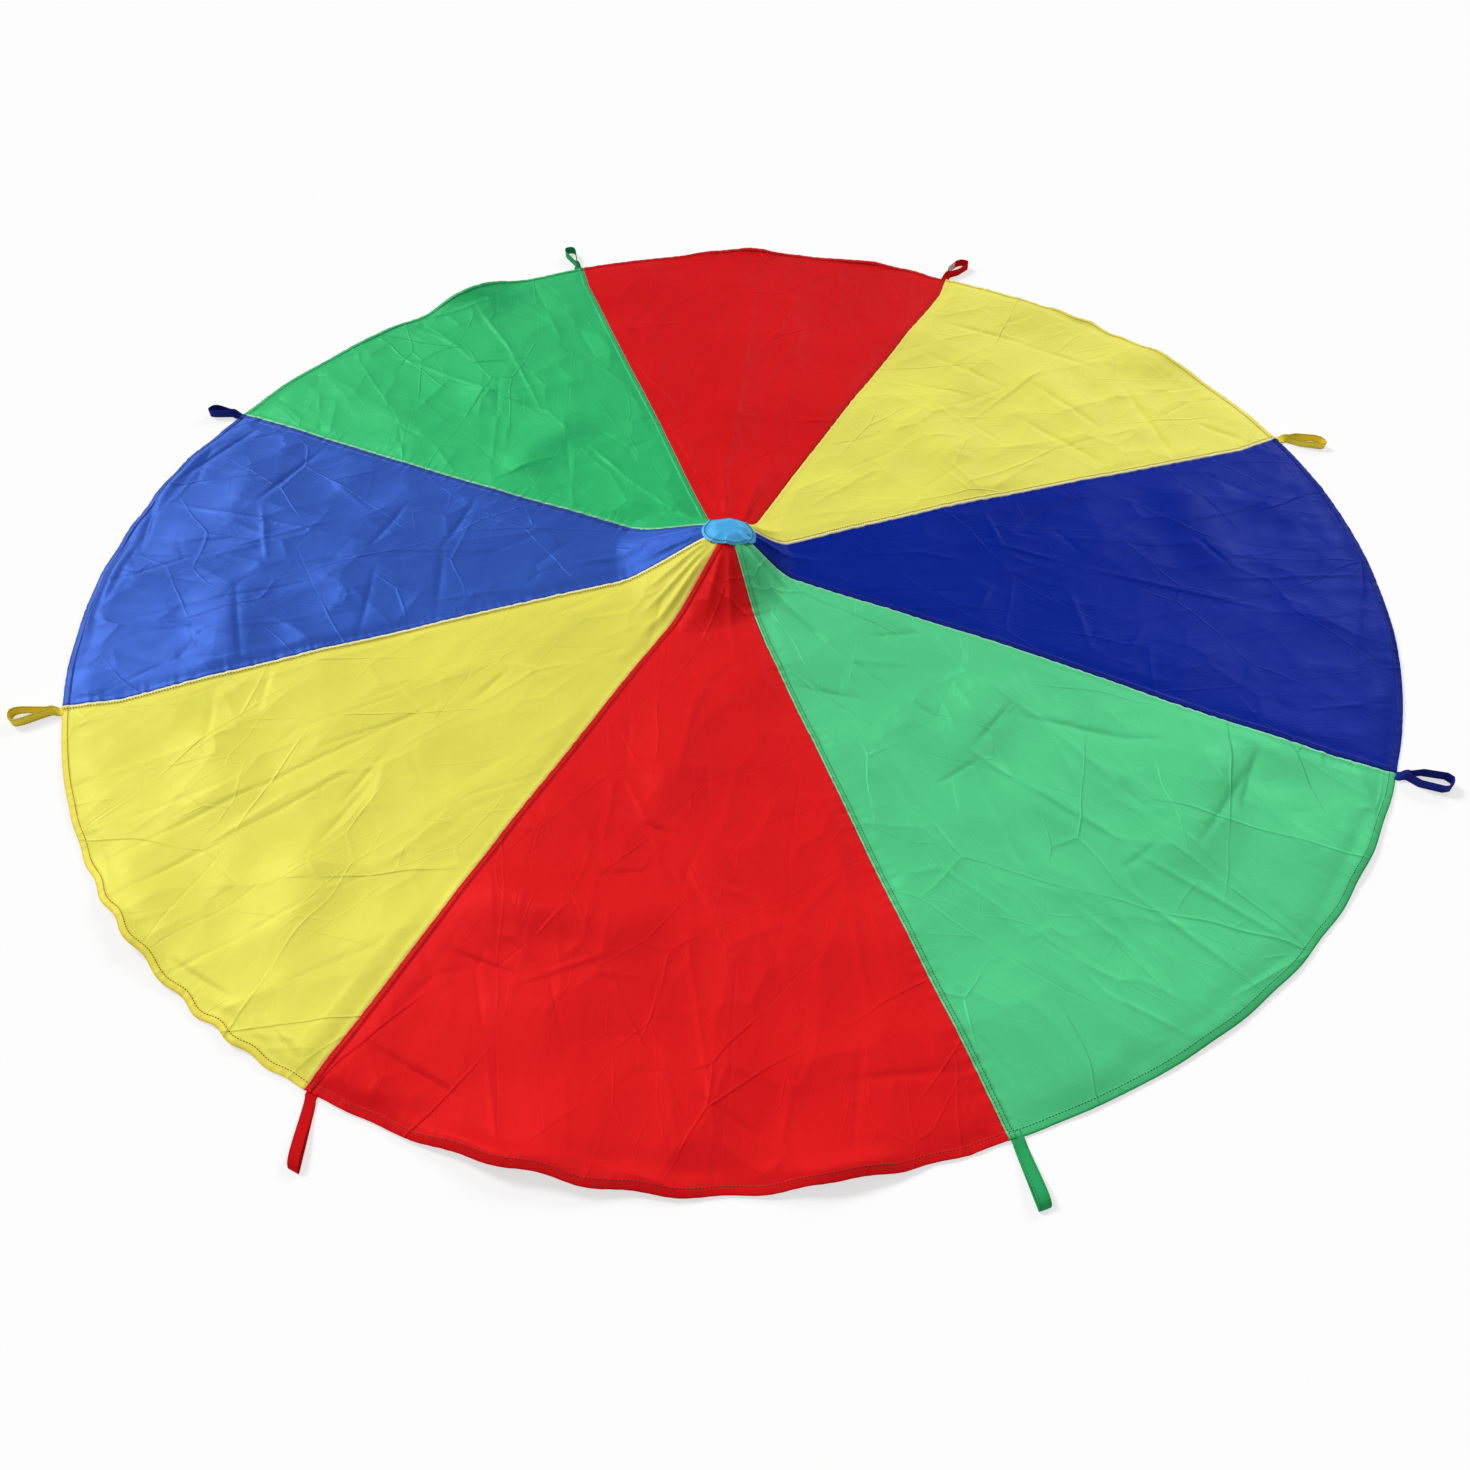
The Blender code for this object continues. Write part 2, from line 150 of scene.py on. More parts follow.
# Pleats on the hub: direction, start and end outward, half-width and height
HUB_FOLDS = (
    (20, 0.030, 0.13, 0.006, 0.0040),
    (58, 0.035, 0.30, 0.008, 0.0055),
    (75, 0.040, 0.34, 0.007, 0.0060),
    (107, 0.030, 0.22, 0.007, 0.0040),
    (124, 0.030, 0.18, 0.006, 0.0045),
    (150, 0.025, 0.19, 0.009, 0.0055),
    (168, 0.030, 0.16, 0.006, 0.0050),
    (195, 0.030, 0.18, 0.006, 0.0050),
    (206, 0.035, 0.21, 0.005, 0.0050),
    (215, 0.040, 0.25, 0.007, 0.0065),
    (238, 0.030, 0.17, 0.006, 0.0040),
    (253, 0.030, 0.20, 0.005, 0.0050),
    (275, 0.028, 0.15, 0.004, 0.0045),
    (289, 0.025, 0.24, 0.007, 0.0080),
    (304, 0.030, 0.15, 0.005, 0.0055),
    (338, 0.025, 0.17, 0.007, 0.0050),
)
# Scallops in the outline: direction, span and length in degrees, depth
RIM_SCALLOPS = (
    (27, 11, 4.6, 0.0035), (50, 8, 5.5, 0.0025), (70, 9, 6.1, 0.0030), (108, 9, 7.3, 0.0040),
    (150, 14, 5.9, 0.0015), (205, 10, 4.3, 0.0028), (217, 7, 3.4, 0.0020), (243, 14, 5.7, 0.0022),
    (262, 8, 4.4, 0.0014), (300, 16, 6.3, 0.0012),
)
# Curls along the rim: direction and span in degrees, crest's distance in, width and rise
RIM_CURLS = (
    (17, 5, 0.004, 0.014, 0.0050), (29, 4, 0.002, 0.012, 0.0050), (56, 6, 0.000, 0.015, 0.0070),
    (72, 8, 0.000, 0.018, 0.0100), (104.5, 5, 0.000, 0.020, 0.0130), (118, 5, 0.002, 0.014, 0.0050),
    (147, 6, 0.014, 0.012, 0.0045), (163, 5, 0.020, 0.010, 0.0040), (206, 6, 0.004, 0.012, 0.0050),
    (217, 3, 0.004, 0.010, 0.0040), (237, 5, 0.012, 0.013, 0.0085), (247, 4, 0.010, 0.012, 0.0070),
    (259, 4, 0.012, 0.012, 0.0060), (286, 6, 0.010, 0.012, 0.0035), (305, 7, 0.008, 0.012, 0.0040),
    (331, 5, 0.010, 0.012, 0.0040),
)
LIFT_HEIGHT = 0.014
LIFT_REACH = 0.120
RIM_LIFTS = (
    (17.0, 4.0, 0.65),
    (70.4, 5.0, 0.60),
    (104.8, 4.5, 1.00),
    (203.8, 4.0, 0.60),
    (240.0, 4.5, 0.85),
    (258.5, 3.5, 0.60),
)

# Creases: both ends in centimetres on the sheet, half-width and rise in millimetres.
# A valley's rise is below 0
CREASES = (
    # right yellow
    (62, 54, 72, 44, 7, -1.8), (54, 45, 62, 31, 7, -1.8), (52, 22, 76, 35, 4, 1.3), (68, 28, 72, 14, 7, -1.9),
    (82, 24, 88, 34, 4, -1.5), (83, 22, 81, 3, 7, -1.9), (61, 19, 68, 4, 7, -1.7), (44, 25, 42, 16, 7, -1.3),
    (42, 15, 45, 2, 4, 1.2), (46, 38, 55, 29, 5, -1.2), (52, 21, 55, 13, 4, -1.0), (74, 41, 81, 31, 6, -1.3),
    (16, 8, 31, 14, 4, 0.8), (90, 8, 94, 2, 6, -1.4),
    # far red
    (1, 72, 14, 72, 4, 1.2), (14, 39, 31, 81, 7, 2.0), (6, 21, 14, 39, 7, 1.8), (24, 54, 40, 77, 6, 1.4),
    (3, 73, 11, 84, 7, -1.6), (2, 18, 1, 46, 5, 1.6), (17, 60, 21, 69, 7, 1.5), (19, 43, 34, 60, 6, 1.4),
    (22, 32, 29, 30, 4, 1.2),
    # far green
    (-43, 78, -28, 60, 5, 1.6), (-28, 60, -19, 50, 5, 1.6), (-37, 86, -30, 75, 5, 1.5),
    (-36, 88, -29, 71, 4, 1.3), (-25, 89, -21, 70, 5, 1.6), (-22, 75, -20, 51, 4, 1.2),
    (-31, 71, -21, 69, 4, 1.2), (-19, 50, -17, 42, 4, 1.2), (-14, 37, -10, 25, 6, 1.7),
    (-10, 25, -5, 14, 6, 1.6), (-32, 33, -19, 36, 5, 1.0), (-28, 42, -26, 50, 6, 1.0),
    # left blue
    (-70, 41, -60, 51, 6, -1.7), (-83, 51, -70, 62, 5, -1.4), (-86, 46, -55, 24, 5, 1.5),
    (-89, 17, -63, 17, 4, -1.0), (-87, 46, -89, 35, 6, -2.0), (-85, 34, -72, 31, 4, -1.2),
    (-91, 29, -79, 22, 4, -1.2), (-75, 2, -75, 19, 7, -1.3), (-70, 38, -70, 25, 5, 1.2),
    (-54, 22, -47, 31, 6, -1.2), (-43, 18, -36, 28, 7, -1.5), (-54, 21, -34, 14, 4, 1.2),
    (-46, 4, -43, 17, 7, -1.2), (-23, 7, -16, 5, 5, 1.2), (-58, 2, -54, 16, 6, -1.0),
    # left yellow
    (-93, -29, -49, -16, 4, -1.2), (-91, -35, -60, -24, 4, -1.2), (-66, -19, -51, -17, 5, -1.2),
    (-79, -4, -81, -17, 7, -1.1), (-71, -2, -73, -9, 7, -1.1), (-64, -30, -57, -23, 6, -1.2),
    (-68, -36, -60, -28, 6, -1.2), (-54, -10, -50, -18, 5, 1.0), (-44, -17, -38, -13, 6, -1.2),
    (-36, -13, -31, -20, 5, 1.0), (-18, -16, -12, -5, 7, -1.6), (-86, -47, -79, -55, 6, -1.4),
    (-76, -59, -72, -66, 5, -1.2),
    # near red
    (-20, -40, -12, -24, 7, 1.5), (-15, -31, -9, -21, 6, 1.3), (-28, -46, -23, -50, 6, -1.5),
    (-37, -52, -28, -54, 5, -1.2), (-54, -57, -47, -63, 6, -1.6), (-48, -64, -36, -64, 4, 1.0),
    (-24, -55, -23, -63, 6, -1.4), (-65, -66, -56, -76, 7, -1.8), (-31, -85, -26, -92, 5, -1.4),
    (-15, -88, -3, -91, 6, -1.2), (-16, -63, -22, -58, 5, 1.0), (-10, -11, -8, -18, 4, 1.6),
    # near green
    (5, -16, 12, -33, 5, -1.6), (12, -33, 18, -45, 5, -1.4), (14, -24, 23, -26, 5, -1.3),
    (1, -30, 8, -35, 7, -1.6), (11, -53, 19, -51, 4, -1.2), (18, -49, 30, -69, 5, 1.2),
    (19, -49, 27, -44, 6, -1.2), (28, -73, 34, -71, 5, -1.2), (31, -72, 42, -90, 5, 1.4),
    (27, -76, 34, -93, 5, 1.4), (47, -70, 56, -61, 6, -1.4), (39, -73, 54, -63, 7, -1.3),
    (28, -46, 40, -54, 7, -1.4), (40, -54, 45, -56, 6, -1.2), (23, -84, 20, -77, 4, 1.0),
    (25, -35, 28, -29, 5, -1.1),
    # right blue
    (27, -8, 35, -13, 6, 1.4), (41, -11, 49, -18, 5, 1.6), (42, -12, 43, -4, 5, 1.4),
    (52, -21, 73, -38, 5, 1.2), (55, -17, 97, -15, 4, 1.0), (70, -30, 92, -36, 4, 1.0),
    (44, -37, 47, -25, 7, 1.2), (48, -40, 53, -36, 6, 1.1), (72, -20, 73, -28, 5, -1.2),
    (52, -11, 53, -17, 6, -1.2), (33, -23, 36, -20, 5, 1.2), (74, -26, 90, -28, 4, 0.9),
)
# How sharply every crease is drawn, and how much one side stands over the other, as shares of its rise
CREASE_STRENGTH = 1.8
CREASE_STEP = 0.6
# A crease's sharpness and rounding over its half-width, and the slope and reach of its step
CREASE_FALL = 1.5
CREASE_ROUNDING = 0.03
STEP_SLOPE = 1.6
STEP_REACH = 1.5
# How a crease eases out past its ends, as shares of its run
RUN_EASE = 0.42
RUN_PAST = 0.6


# The lie of the cloth


def smooth(t):
    t = np.clip(t, 0.0, 1.0)
    return t * t * (3 - 2 * t)


def around(shares, angle):
    shares = np.asarray(shares)
    place = (angle / TAU % 1) * len(shares)
    index = np.floor(place).astype(int) % len(shares)
    ease = smooth(place - np.floor(place))
    return shares[index] * (1 - ease) + shares[(index + 1) % len(shares)] * ease


def turn_between(angle, degrees):
    return (np.degrees(angle) - degrees + 180) % 360 - 180


def rim_radius(angle):
    """The outline: its broad shares, scalloped where the hem draws the cloth up."""
    radius = around(RIM_SHARES, angle)
    for direction, span, length, depth in RIM_SCALLOPS:
        turn = turn_between(angle, direction)
        radius = radius + depth * np.cos(TAU * turn / length) * np.exp(-((turn / span) ** 2))
    return radius


def seam_angle(seam, radius):
    turn = np.interp(radius, SEAM_RADII, SEAM_TURNS[seam % GORES])
    return TAU * seam / GORES + np.radians(turn)


def waves(x, y, length, seed, count=16):
    """A smooth random field of about unit size, made of plane waves near one length."""
    rng = np.random.default_rng(seed)
    total = np.zeros_like(x)
    for _ in range(count):
        heading, phase = rng.uniform(0, TAU, 2)
        k = TAU / (length * rng.uniform(0.7, 1.5))
        total += np.cos(k * (x * math.cos(heading) + y * math.sin(heading)) + phase)
    return total / math.sqrt(count / 2)


def facets(x, y, spacing, tilt, seed, crest=0.0):
    """A crumpled field of shallow facets that meet along straight crests."""
    rng = np.random.default_rng(seed)
    count = int(2.4 / spacing) + 6
    play_x, play_y = rng.uniform(-0.42, 0.42, (2, count, count)) * spacing
    tilt_x, tilt_y = np.clip(rng.normal(0, 1, (2, count, count)), -1.3, 1.3) * tilt
    column = np.floor((x + 1.2) / spacing).astype(int) + 3
    row = np.floor((y + 1.2) / spacing).astype(int) + 3
    best, second = np.full_like(x, 1e9), np.full_like(x, 1e9)
    for i in range(-2, 3):
        for j in range(-2, 3):
            r, c = row + i, column + j
            dx = x + 1.2 - (c - 2.5) * spacing - play_x[r, c]
            dy = y + 1.2 - (r - 2.5) * spacing - play_y[r, c]
            bowl = 1.2 * tilt / spacing * (dx * dx + dy * dy)
            facet = tilt_x[r, c] * dx + tilt_y[r, c] * dy + bowl
            second = np.minimum(second, np.maximum(best, facet))
            best = np.minimum(best, facet)
    away = (second - best) / (3 * tilt)
    return best + FACET_MIDDLE * tilt * spacing + crest * np.exp(-away / CREST_WIDTH)


def hump_height(radius, angle):
    foot = HUB_FOOT * around(HUB_FOOT_SHARES, angle)
    down = np.clip((radius - HUB_TOP) / (foot - HUB_TOP), 0, 1)
    return HUB_RISE * (0.5 * (1 - smooth(down)) + 0.5 * (1 - down) ** 1.6)


def hub_folds(radius, angle):
    """Sharp pleats that run down the hub between its seams."""
    height = np.zeros_like(radius)
    for direction, inner, outer, width, rise in HUB_FOLDS:
        t = (radius - inner) / (outer - inner)
        across = radius * np.radians(turn_between(angle, direction)) / (width * (0.6 + t))
        run = smooth(t / 0.25) * smooth((1 - t) / 0.55)
        height += rise * run * np.exp(-(np.sqrt(across**2 + 0.09) - 0.3) * 1.5)
    return height


def fold_height(x, y):
    height = np.zeros_like(x)
    for direction, heading, out, length, share in MAIN_FOLDS:
        ax, ay = out * math.cos(math.radians(direction)), out * math.sin(math.radians(direction))
        c, s = math.cos(math.radians(heading)), math.sin(math.radians(heading))
        along = (x - ax) * c + (y - ay) * s
        across = -(x - ax) * s + (y - ay) * c
        bulge = (across / FOLD_HALF_WIDTH) ** 2 + (2 * along / (FOLD_LENGTH * length)) ** 4
        height += FOLD_HEIGHT * share * np.exp(-bulge)
    return height


def lift_height(radius, angle):
    near_rim = smooth((radius - rim_radius(angle) + LIFT_REACH) / LIFT_REACH)
    height = np.zeros_like(radius)
    for direction, span, share in RIM_LIFTS:
        height += LIFT_HEIGHT * share * np.exp(-((turn_between(angle, direction) / span) ** 2))
    inward = rim_radius(angle) - radius
    height = height * near_rim
    for direction, span, crest, width, rise in RIM_CURLS:
        bulge = ((inward - crest) / width) ** 2 + (turn_between(angle, direction) / span) ** 2
        height += rise * np.exp(-bulge)
    return height


def run_fade(along):
    """Full along a crease's run, easing out just past both its ends."""
    past = RUN_PAST * RUN_EASE
    begin = smooth((along + past) / (RUN_EASE + past))
    return begin * smooth((1 + past - along) / (RUN_EASE + past))


def crease_height(x, y):
    """Straight creases: each a narrow ridge or valley with a step from one side to the other."""
    height = np.zeros_like(x)
    for row in CREASES:
        x0, y0, x1, y1 = (value / 100 for value in row[:4])
        width, ridge = row[4] / 1000, row[5] / 1000
        length = math.hypot(x1 - x0, y1 - y0)
        ux, uy = (x1 - x0) / length, (y1 - y0) / length
        across = -(x - x0) * uy + (y - y0) * ux
        along = ((x - x0) * ux + (y - y0) * uy) / length
        near = (np.abs(across) < 8 * width) & (np.abs(along - 0.5) < 0.5 + 3 * width / length)
        d = across[near] / width
        shape = CREASE_STRENGTH * ridge * np.exp(-CREASE_FALL * np.sqrt(d**2 + CREASE_ROUNDING))
        shape += CREASE_STEP * abs(ridge) * np.tanh(STEP_SLOPE * d) * np.exp(-np.abs(d) / STEP_REACH)
        height[near] += shape * run_fade(along[near])
    return height


def relief(x, y, crumple=0.0):
    """The small folds and creases on top of the broad lie, which bottom out on the floor."""
    height = facets(x, y, SHEET_FACET, SHEET_TILT, 11) + waves(x, y, SHEET_WAVE, 13) * SHEET_WAVE_RISE
    near_rim = smooth((1.0 - np.hypot(x, y)) / RIM_EASE)
    height = height + crease_height(x, y) + crumple + CREASE_LIFT * (0.15 + 0.85 * near_rim)
    return (height + np.sqrt(height**2 + FLOOR_EASE**2)) / 2


def gore_crumple(gore, x, y, edge):
    """One gore's own crumples, drawn out along it and stilled where its seams hold it."""
    patch = smooth(0.5 + 0.6 * waves(x, y, CRUMPLE_PATCH, 40 + gore))
    height = np.zeros_like(x)
    for spacing, stretch, skew, tilt, seed, share, crest in CRUMPLES:
        turn = TAU * (gore + 0.5) / GORES + math.radians(skew * (1 if gore % 2 else -1))
        u = (x * math.cos(turn) + y * math.sin(turn)) / stretch
        v = -x * math.sin(turn) + y * math.cos(turn)
        crests = crest * np.clip(1.4 * waves(x, y, CREST_PATCH, seed + 20 + gore, 10), -1, 1)
        height += facets(u, v, spacing, tilt, seed + gore, crests) * (share + (1 - share) * patch)
    return height * smooth(edge / SEWN_EASE)


def lay_height(radius, angle, crumple=0.0):
    x, y = radius * np.cos(angle), radius * np.sin(angle)
    broad = hump_height(radius, angle) + fold_height(x, y) + lift_height(radius, angle)
    return np.maximum(0.0, broad - LAY_SINK) + hub_folds(radius, angle) + relief(x, y, crumple)


def ripple(place, lengths, seed):
    rng = np.random.default_rng(seed)
    total = np.zeros_like(place)
    for length in lengths:
        for _ in range(3):
            total += np.cos(TAU * place / (length * rng.uniform(0.8, 1.25)) + rng.uniform(0, TAU))
    return total / (3 * len(lengths)) ** 0.5


def seam_pucker(seam, radius, away):
    size = SEAM_PUCKER * smooth((radius - 0.05) / 0.1)
    wave = ripple(radius, SEAM_PUCKER_LENGTHS, 100 + seam % GORES)
    return size * wave * np.exp(-away / SEAM_PUCKER_REACH)


def hem_pucker(angle, inward):
    wave = ripple(angle % TAU, HEM_PUCKER_LENGTHS, 90)
    return HEM_PUCKER * wave * np.exp(-inward / HEM_PUCKER_REACH)


def band(place, width, rise):
    """A folded strip's thickness over its width, sinking a little into its edges."""
    up = smooth(place / BAND_EDGE)
    down = smooth((width + BAND_EDGE - place) / BAND_EDGE)
    crown = 1 + 0.35 * np.sin(math.pi * np.clip(place / width, 0, 1))
    return rise * up * down * crown


def cloth_surface(gore, radius, angle):
    """The top of one gore at these polar points, as x, y, z."""
    first, last = seam_angle(gore, radius), seam_angle(gore + 1, radius)
    from_first = np.maximum(0.0, radius * np.sin(angle - first))
    from_last = np.maximum(0.0, radius * np.sin(last - angle))
    inward = np.maximum(0.0, rim_radius(angle) - radius)
    edge = np.minimum(np.minimum(from_first, from_last), inward)
    crumple = gore_crumple(gore, radius * np.cos(angle), radius * np.sin(angle), edge)
    z = lay_height(radius, angle, crumple) + CLOTH_LIFT
    z = z + seam_pucker(gore, radius, from_first) + seam_pucker(gore + 1, radius, from_last)
    z = z + hem_pucker(angle, inward)
    sewn = radius > SEWN_FROM
    z = z + band(from_first, SEAM_BAND, BAND_RISE) * sewn
    z = z + band(inward + BAND_EDGE, HEM_WIDTH, HEM_RISE)
    z = z + ROLL_RISE * np.exp(-(((from_last - ROLL_PLACE) / ROLL_PLACE) ** 2)) * sewn
    z = z - LAST_SINK * np.exp(-((from_last / LAST_SINK_WIDTH) ** 2))
    z = z - FIRST_SINK * np.exp(-((from_first / FIRST_SINK_WIDTH) ** 2))
    lean = 1 - np.minimum(1.0, radius) ** 2
    x = radius * np.cos(angle) + LEAN[0] * lean
    y = radius * np.sin(angle) + LEAN[1] * lean
    return np.stack([x, y, np.maximum(z, FLOOR_GAP)], axis=-1)


# Meshes


def add_object(name, data):
    thing = bpy.data.objects.new(name, data)
    bpy.context.scene.collection.objects.link(thing)
    return thing


def make_mesh(name, points, faces, material):
    mesh = bpy.data.meshes.new(name)
    if isinstance(faces, np.ndarray):
        mesh.vertices.add(len(points))
        mesh.vertices.foreach_set("co", np.asarray(points, np.float32).ravel())
        mesh.loops.add(faces.size)
        mesh.loops.foreach_set("vertex_index", faces.astype(np.int32).ravel())
        mesh.polygons.add(len(faces))
        mesh.polygons.foreach_set("loop_start", np.arange(0, faces.size, faces.shape[1], dtype=np.int32))
        mesh.update(calc_edges=True)
    else:
        mesh.from_pydata([tuple(p) for p in points], [], faces)
        mesh.update()
    mesh.shade_smooth()
    mesh.materials.append(material)
    return add_object(name, mesh)


def zip_rows(inner, outer, inner_place, outer_place):
    """Triangles between two rows of points with different counts."""
    beside_outer = np.searchsorted(inner_place[1:], outer_place[1:], side="left")
    beside_inner = np.searchsorted(outer_place[1:], inner_place[1:], side="right")
    return np.concatenate([
        np.stack([inner[beside_outer], outer[:-1], outer[1:]], axis=-1),
        np.stack([inner[:-1], outer[beside_inner], inner[1:]], axis=-1),
    ])


def strip_between(a, b):
    """Two triangles for each step along two rows with equal counts."""
    return np.concatenate([
        np.stack([a[:-1], b[:-1], b[1:]], axis=-1), np.stack([a[:-1], b[1:], a[1:]], axis=-1),
    ])


# Points across a seam's band, a seam's roll and the hem, and round the hem's turned edge: outward, share down
BAND_COLUMNS = (0.0, 0.0005, 0.0022, 0.0044, 0.0066, 0.0086, 0.0092)
ROLL_COLUMNS = (0.0086, 0.0062, 0.0042, 0.0024, 0.0011, 0.0)
HEM_ROWS = (0.0107, 0.0100, 0.0080, 0.0060, 0.0040, 0.0020, 0.0008, 0.0003, 0.0)
HEM_TURN = ((0.0005, 0.25), (0.0005, 0.75), (-0.0002, 1.0), (-0.0050, 1.0), (-0.0098, 1.0))
HEM_THICKNESS = 0.0016
HUB_STEP = 0.003
HUB_REACH = 0.16
# How much darker the doubled cloth is at the seams and at the hem, and how wide that change is
SEAM_DEPTH = 0.22
HEM_DEPTH = 0.25
DEPTH_EDGE = 0.0008


def mesh_step(radius):
    return HUB_STEP if radius < HUB_REACH else MESH_STEP


def gore_rows():
    """Each row of points: its share of the way out to the hem, and its distance in from the rim."""
    rows = []
    radius = TIP_RADIUS
    while radius < 1 - HEM_ROWS[0]:
        rows.append((radius / (1 - HEM_ROWS[0]), None))
        radius += mesh_step(radius)
    return rows + [(1.0, inward) for inward in HEM_ROWS]


def build_gore(gore, material):
    radius_rows, angle_rows, place_rows = [], [], []
    for share, inward in gore_rows():
        def radius_at(angle):
            rim = rim_radius(angle)
            return share * (rim - HEM_ROWS[0]) if inward is None else rim - inward
        ends = []
        for seam in (gore, gore + 1):
            angle = np.array(TAU * seam / GORES)
            for _ in range(3):
                angle = seam_angle(seam, radius_at(angle))
            ends.append(float(angle))
        middle = float(radius_at(np.array(ends[0])))
        arc = (ends[1] - ends[0]) * middle
        shrink = min(1.0, 0.45 * arc / BAND_COLUMNS[-1])
        strip = [ends[0] + c * shrink / middle for c in BAND_COLUMNS]
        roll = [ends[1] - c * shrink / middle for c in ROLL_COLUMNS]
        count = max(2, round((roll[0] - strip[-1]) * middle / mesh_step(middle)))
        rest = list(np.linspace(strip[-1], roll[0], count + 1)[1:-1])
        angles = np.array(strip + rest + roll)
        radius_rows.append(radius_at(angles))
        angle_rows.append(angles)
        place_rows.append((angles - ends[0]) / (ends[1] - ends[0]))
    radii, angles = np.concatenate(radius_rows), np.concatenate(angle_rows)
    points = cloth_surface(gore, radii, angles)
    starts = np.cumsum([0] + [len(a) for a in angle_rows])
    faces = []
    begin, end = len(BAND_COLUMNS), -len(ROLL_COLUMNS)
    for r in range(len(angle_rows) - 1):
        inner = np.arange(starts[r], starts[r + 1])
        outer = np.arange(starts[r + 1], starts[r + 2])
        faces.append(strip_between(inner[:begin], outer[:begin]))
        faces.append(strip_between(inner[end:], outer[end:]))
        inner_place, outer_place = (
            (row - row[begin - 1]) / (row[end] - row[begin - 1]) for row in place_rows[r:r + 2]
        )
        middle = slice(begin - 1, end + 1)
        faces.append(zip_rows(inner[middle], outer[middle], inner_place[middle], outer_place[middle]))
    # the hem is turned under: round the edge and back along the underside
    last = list(range(starts[-2], starts[-1]))
    edge = points[last]
    rim_angles = angle_rows[-1]
    out = np.stack([np.cos(rim_angles), np.sin(rim_angles), 0 * rim_angles], axis=-1)
    thick = np.minimum(HEM_THICKNESS, edge[:, 2] - 0.0002)
    under = []
    for outward, down in HEM_TURN:
        row = edge + out * outward
        row[:, 2] = edge[:, 2] - thick * down
        under.append(row)
    base = len(points)
    points = np.concatenate([points] + under)
    previous = np.array(last)
    for r in range(len(HEM_TURN)):
        row = base + r * len(last) + np.arange(len(last))
        faces.append(strip_between(previous, row))
        previous = row
    faces = np.concatenate(faces)
    colour = COLOURS[gore % 4]
    piece = make_mesh(f"cloth_gore_{gore + 1}_{colour}", points, faces, material)
    inward = rim_radius(angles) - radii
    from_first = radii * np.sin(angles - seam_angle(gore, radii))
    from_last = radii * np.sin(seam_angle(gore + 1, radii) - angles)
    doubled_and_rim_shade = np.maximum(
        SEAM_DEPTH * (1 - smooth((from_first - SEAM_BAND) / DEPTH_EDGE)),
        HEM_DEPTH * (1 - smooth((inward - HEM_WIDTH) / DEPTH_EDGE)),
    )
    # the hem's turned edge and underside take this colour in full: partly the doubled cloth, partly painted
    # shade where the edge turns under
    doubled_and_rim_shade = np.maximum(doubled_and_rim_shade, 1 - smooth((inward - 0.0004) / 0.0016))
    doubled_and_rim_shade = np.concatenate([doubled_and_rim_shade, np.ones(len(points) - base)])
    # a painted highlight: the cloth painted paler along its seams' raised edges and rolls, fading out towards
    # the hem
    first_seam_highlight, last_seam_highlight = SEAM_EDGE_HIGHLIGHTS[colour]
    pale = np.maximum(
        last_seam_highlight * np.exp(-((from_last / LAST_SEAM_HIGHLIGHT_WIDTH) ** 4)),
        first_seam_highlight * np.exp(-((from_first / SEAM_HIGHLIGHT_WIDTHS[colour]) ** 4)),
    )
    pale = np.concatenate([pale * smooth((inward - 0.002) / 0.006), np.zeros(len(points) - base)])
    for name, values in (("layers_and_rim_shade", doubled_and_rim_shade), ("pale", pale)):
        attribute = piece.data.attributes.new(name, "FLOAT", "POINT")
        attribute.data.foreach_set("value", values.astype(np.float32))
    return piece


# Stitching


def distances(path):
    """How far along a path each of its points lies."""
    return np.concatenate([[0.0], np.cumsum(np.linalg.norm(np.diff(path, axis=0), axis=1))])


STITCH_LENGTH = 0.0030
STITCH_GAP = 0.0010
# A stitch's thickness along its run: share of the length, share of the radius
STITCH_PROFILE = ((0.0, 0.35), (0.30, 1.0), (0.70, 1.0), (1.0, 0.35))
SEWING_STEP = 0.003
SEAM_STITCHES_FROM = 0.046
HEM_STITCH_INSET = 0.0080
# How far off its seams the hem's stitching starts and ends, in radians
HEM_STITCH_START = 0.0022
HEM_STITCH_END = 0.0004


def stitches(name, paths, material, radius=0.00042):
    """Rows of separate short stitches along paths of (point, up) pairs."""
    points, faces = [], []
    for path, normals in paths:
        along = distances(path)
        count = max(1, int(along[-1] / (STITCH_LENGTH + STITCH_GAP)))
        pitch = along[-1] / count
        for i in range(count):
            begin = i * pitch + STITCH_GAP / 2
            stations = [begin + t * (pitch - STITCH_GAP) for t, _ in STITCH_PROFILE]
            centre = np.stack([np.interp(stations, along, path[:, a]) for a in range(3)], axis=-1)
            up = np.stack([np.interp(stations, along, normals[:, a]) for a in range(3)], axis=-1)
            run = centre[-1] - centre[0]
            run = run / np.linalg.norm(run)
            side = np.cross(up, run)
            side /= np.linalg.norm(side, axis=1)[:, None]
            base = len(points)
            for s, (_, size) in enumerate(STITCH_PROFILE):
                middle = centre[s] + up[s] * radius * (size * 0.9 - 0.45)
                for c, w in ((1, 0), (0, 1), (-1, 0), (0, -1)):
                    points.append(middle + (side[s] * c + up[s] * w) * radius * size)
            for s in range(len(STITCH_PROFILE) - 1):
                for c in range(4):
                    a, b = base + 4 * s + c, base + 4 * s + (c + 1) % 4
                    faces.append((a, b, b + 4, a + 4))
            faces.append((base + 3, base + 2, base + 1, base))
            top = base + 4 * (len(STITCH_PROFILE) - 1)
            faces.append((top, top + 1, top + 2, top + 3))
    return make_mesh(name, points, faces, material)


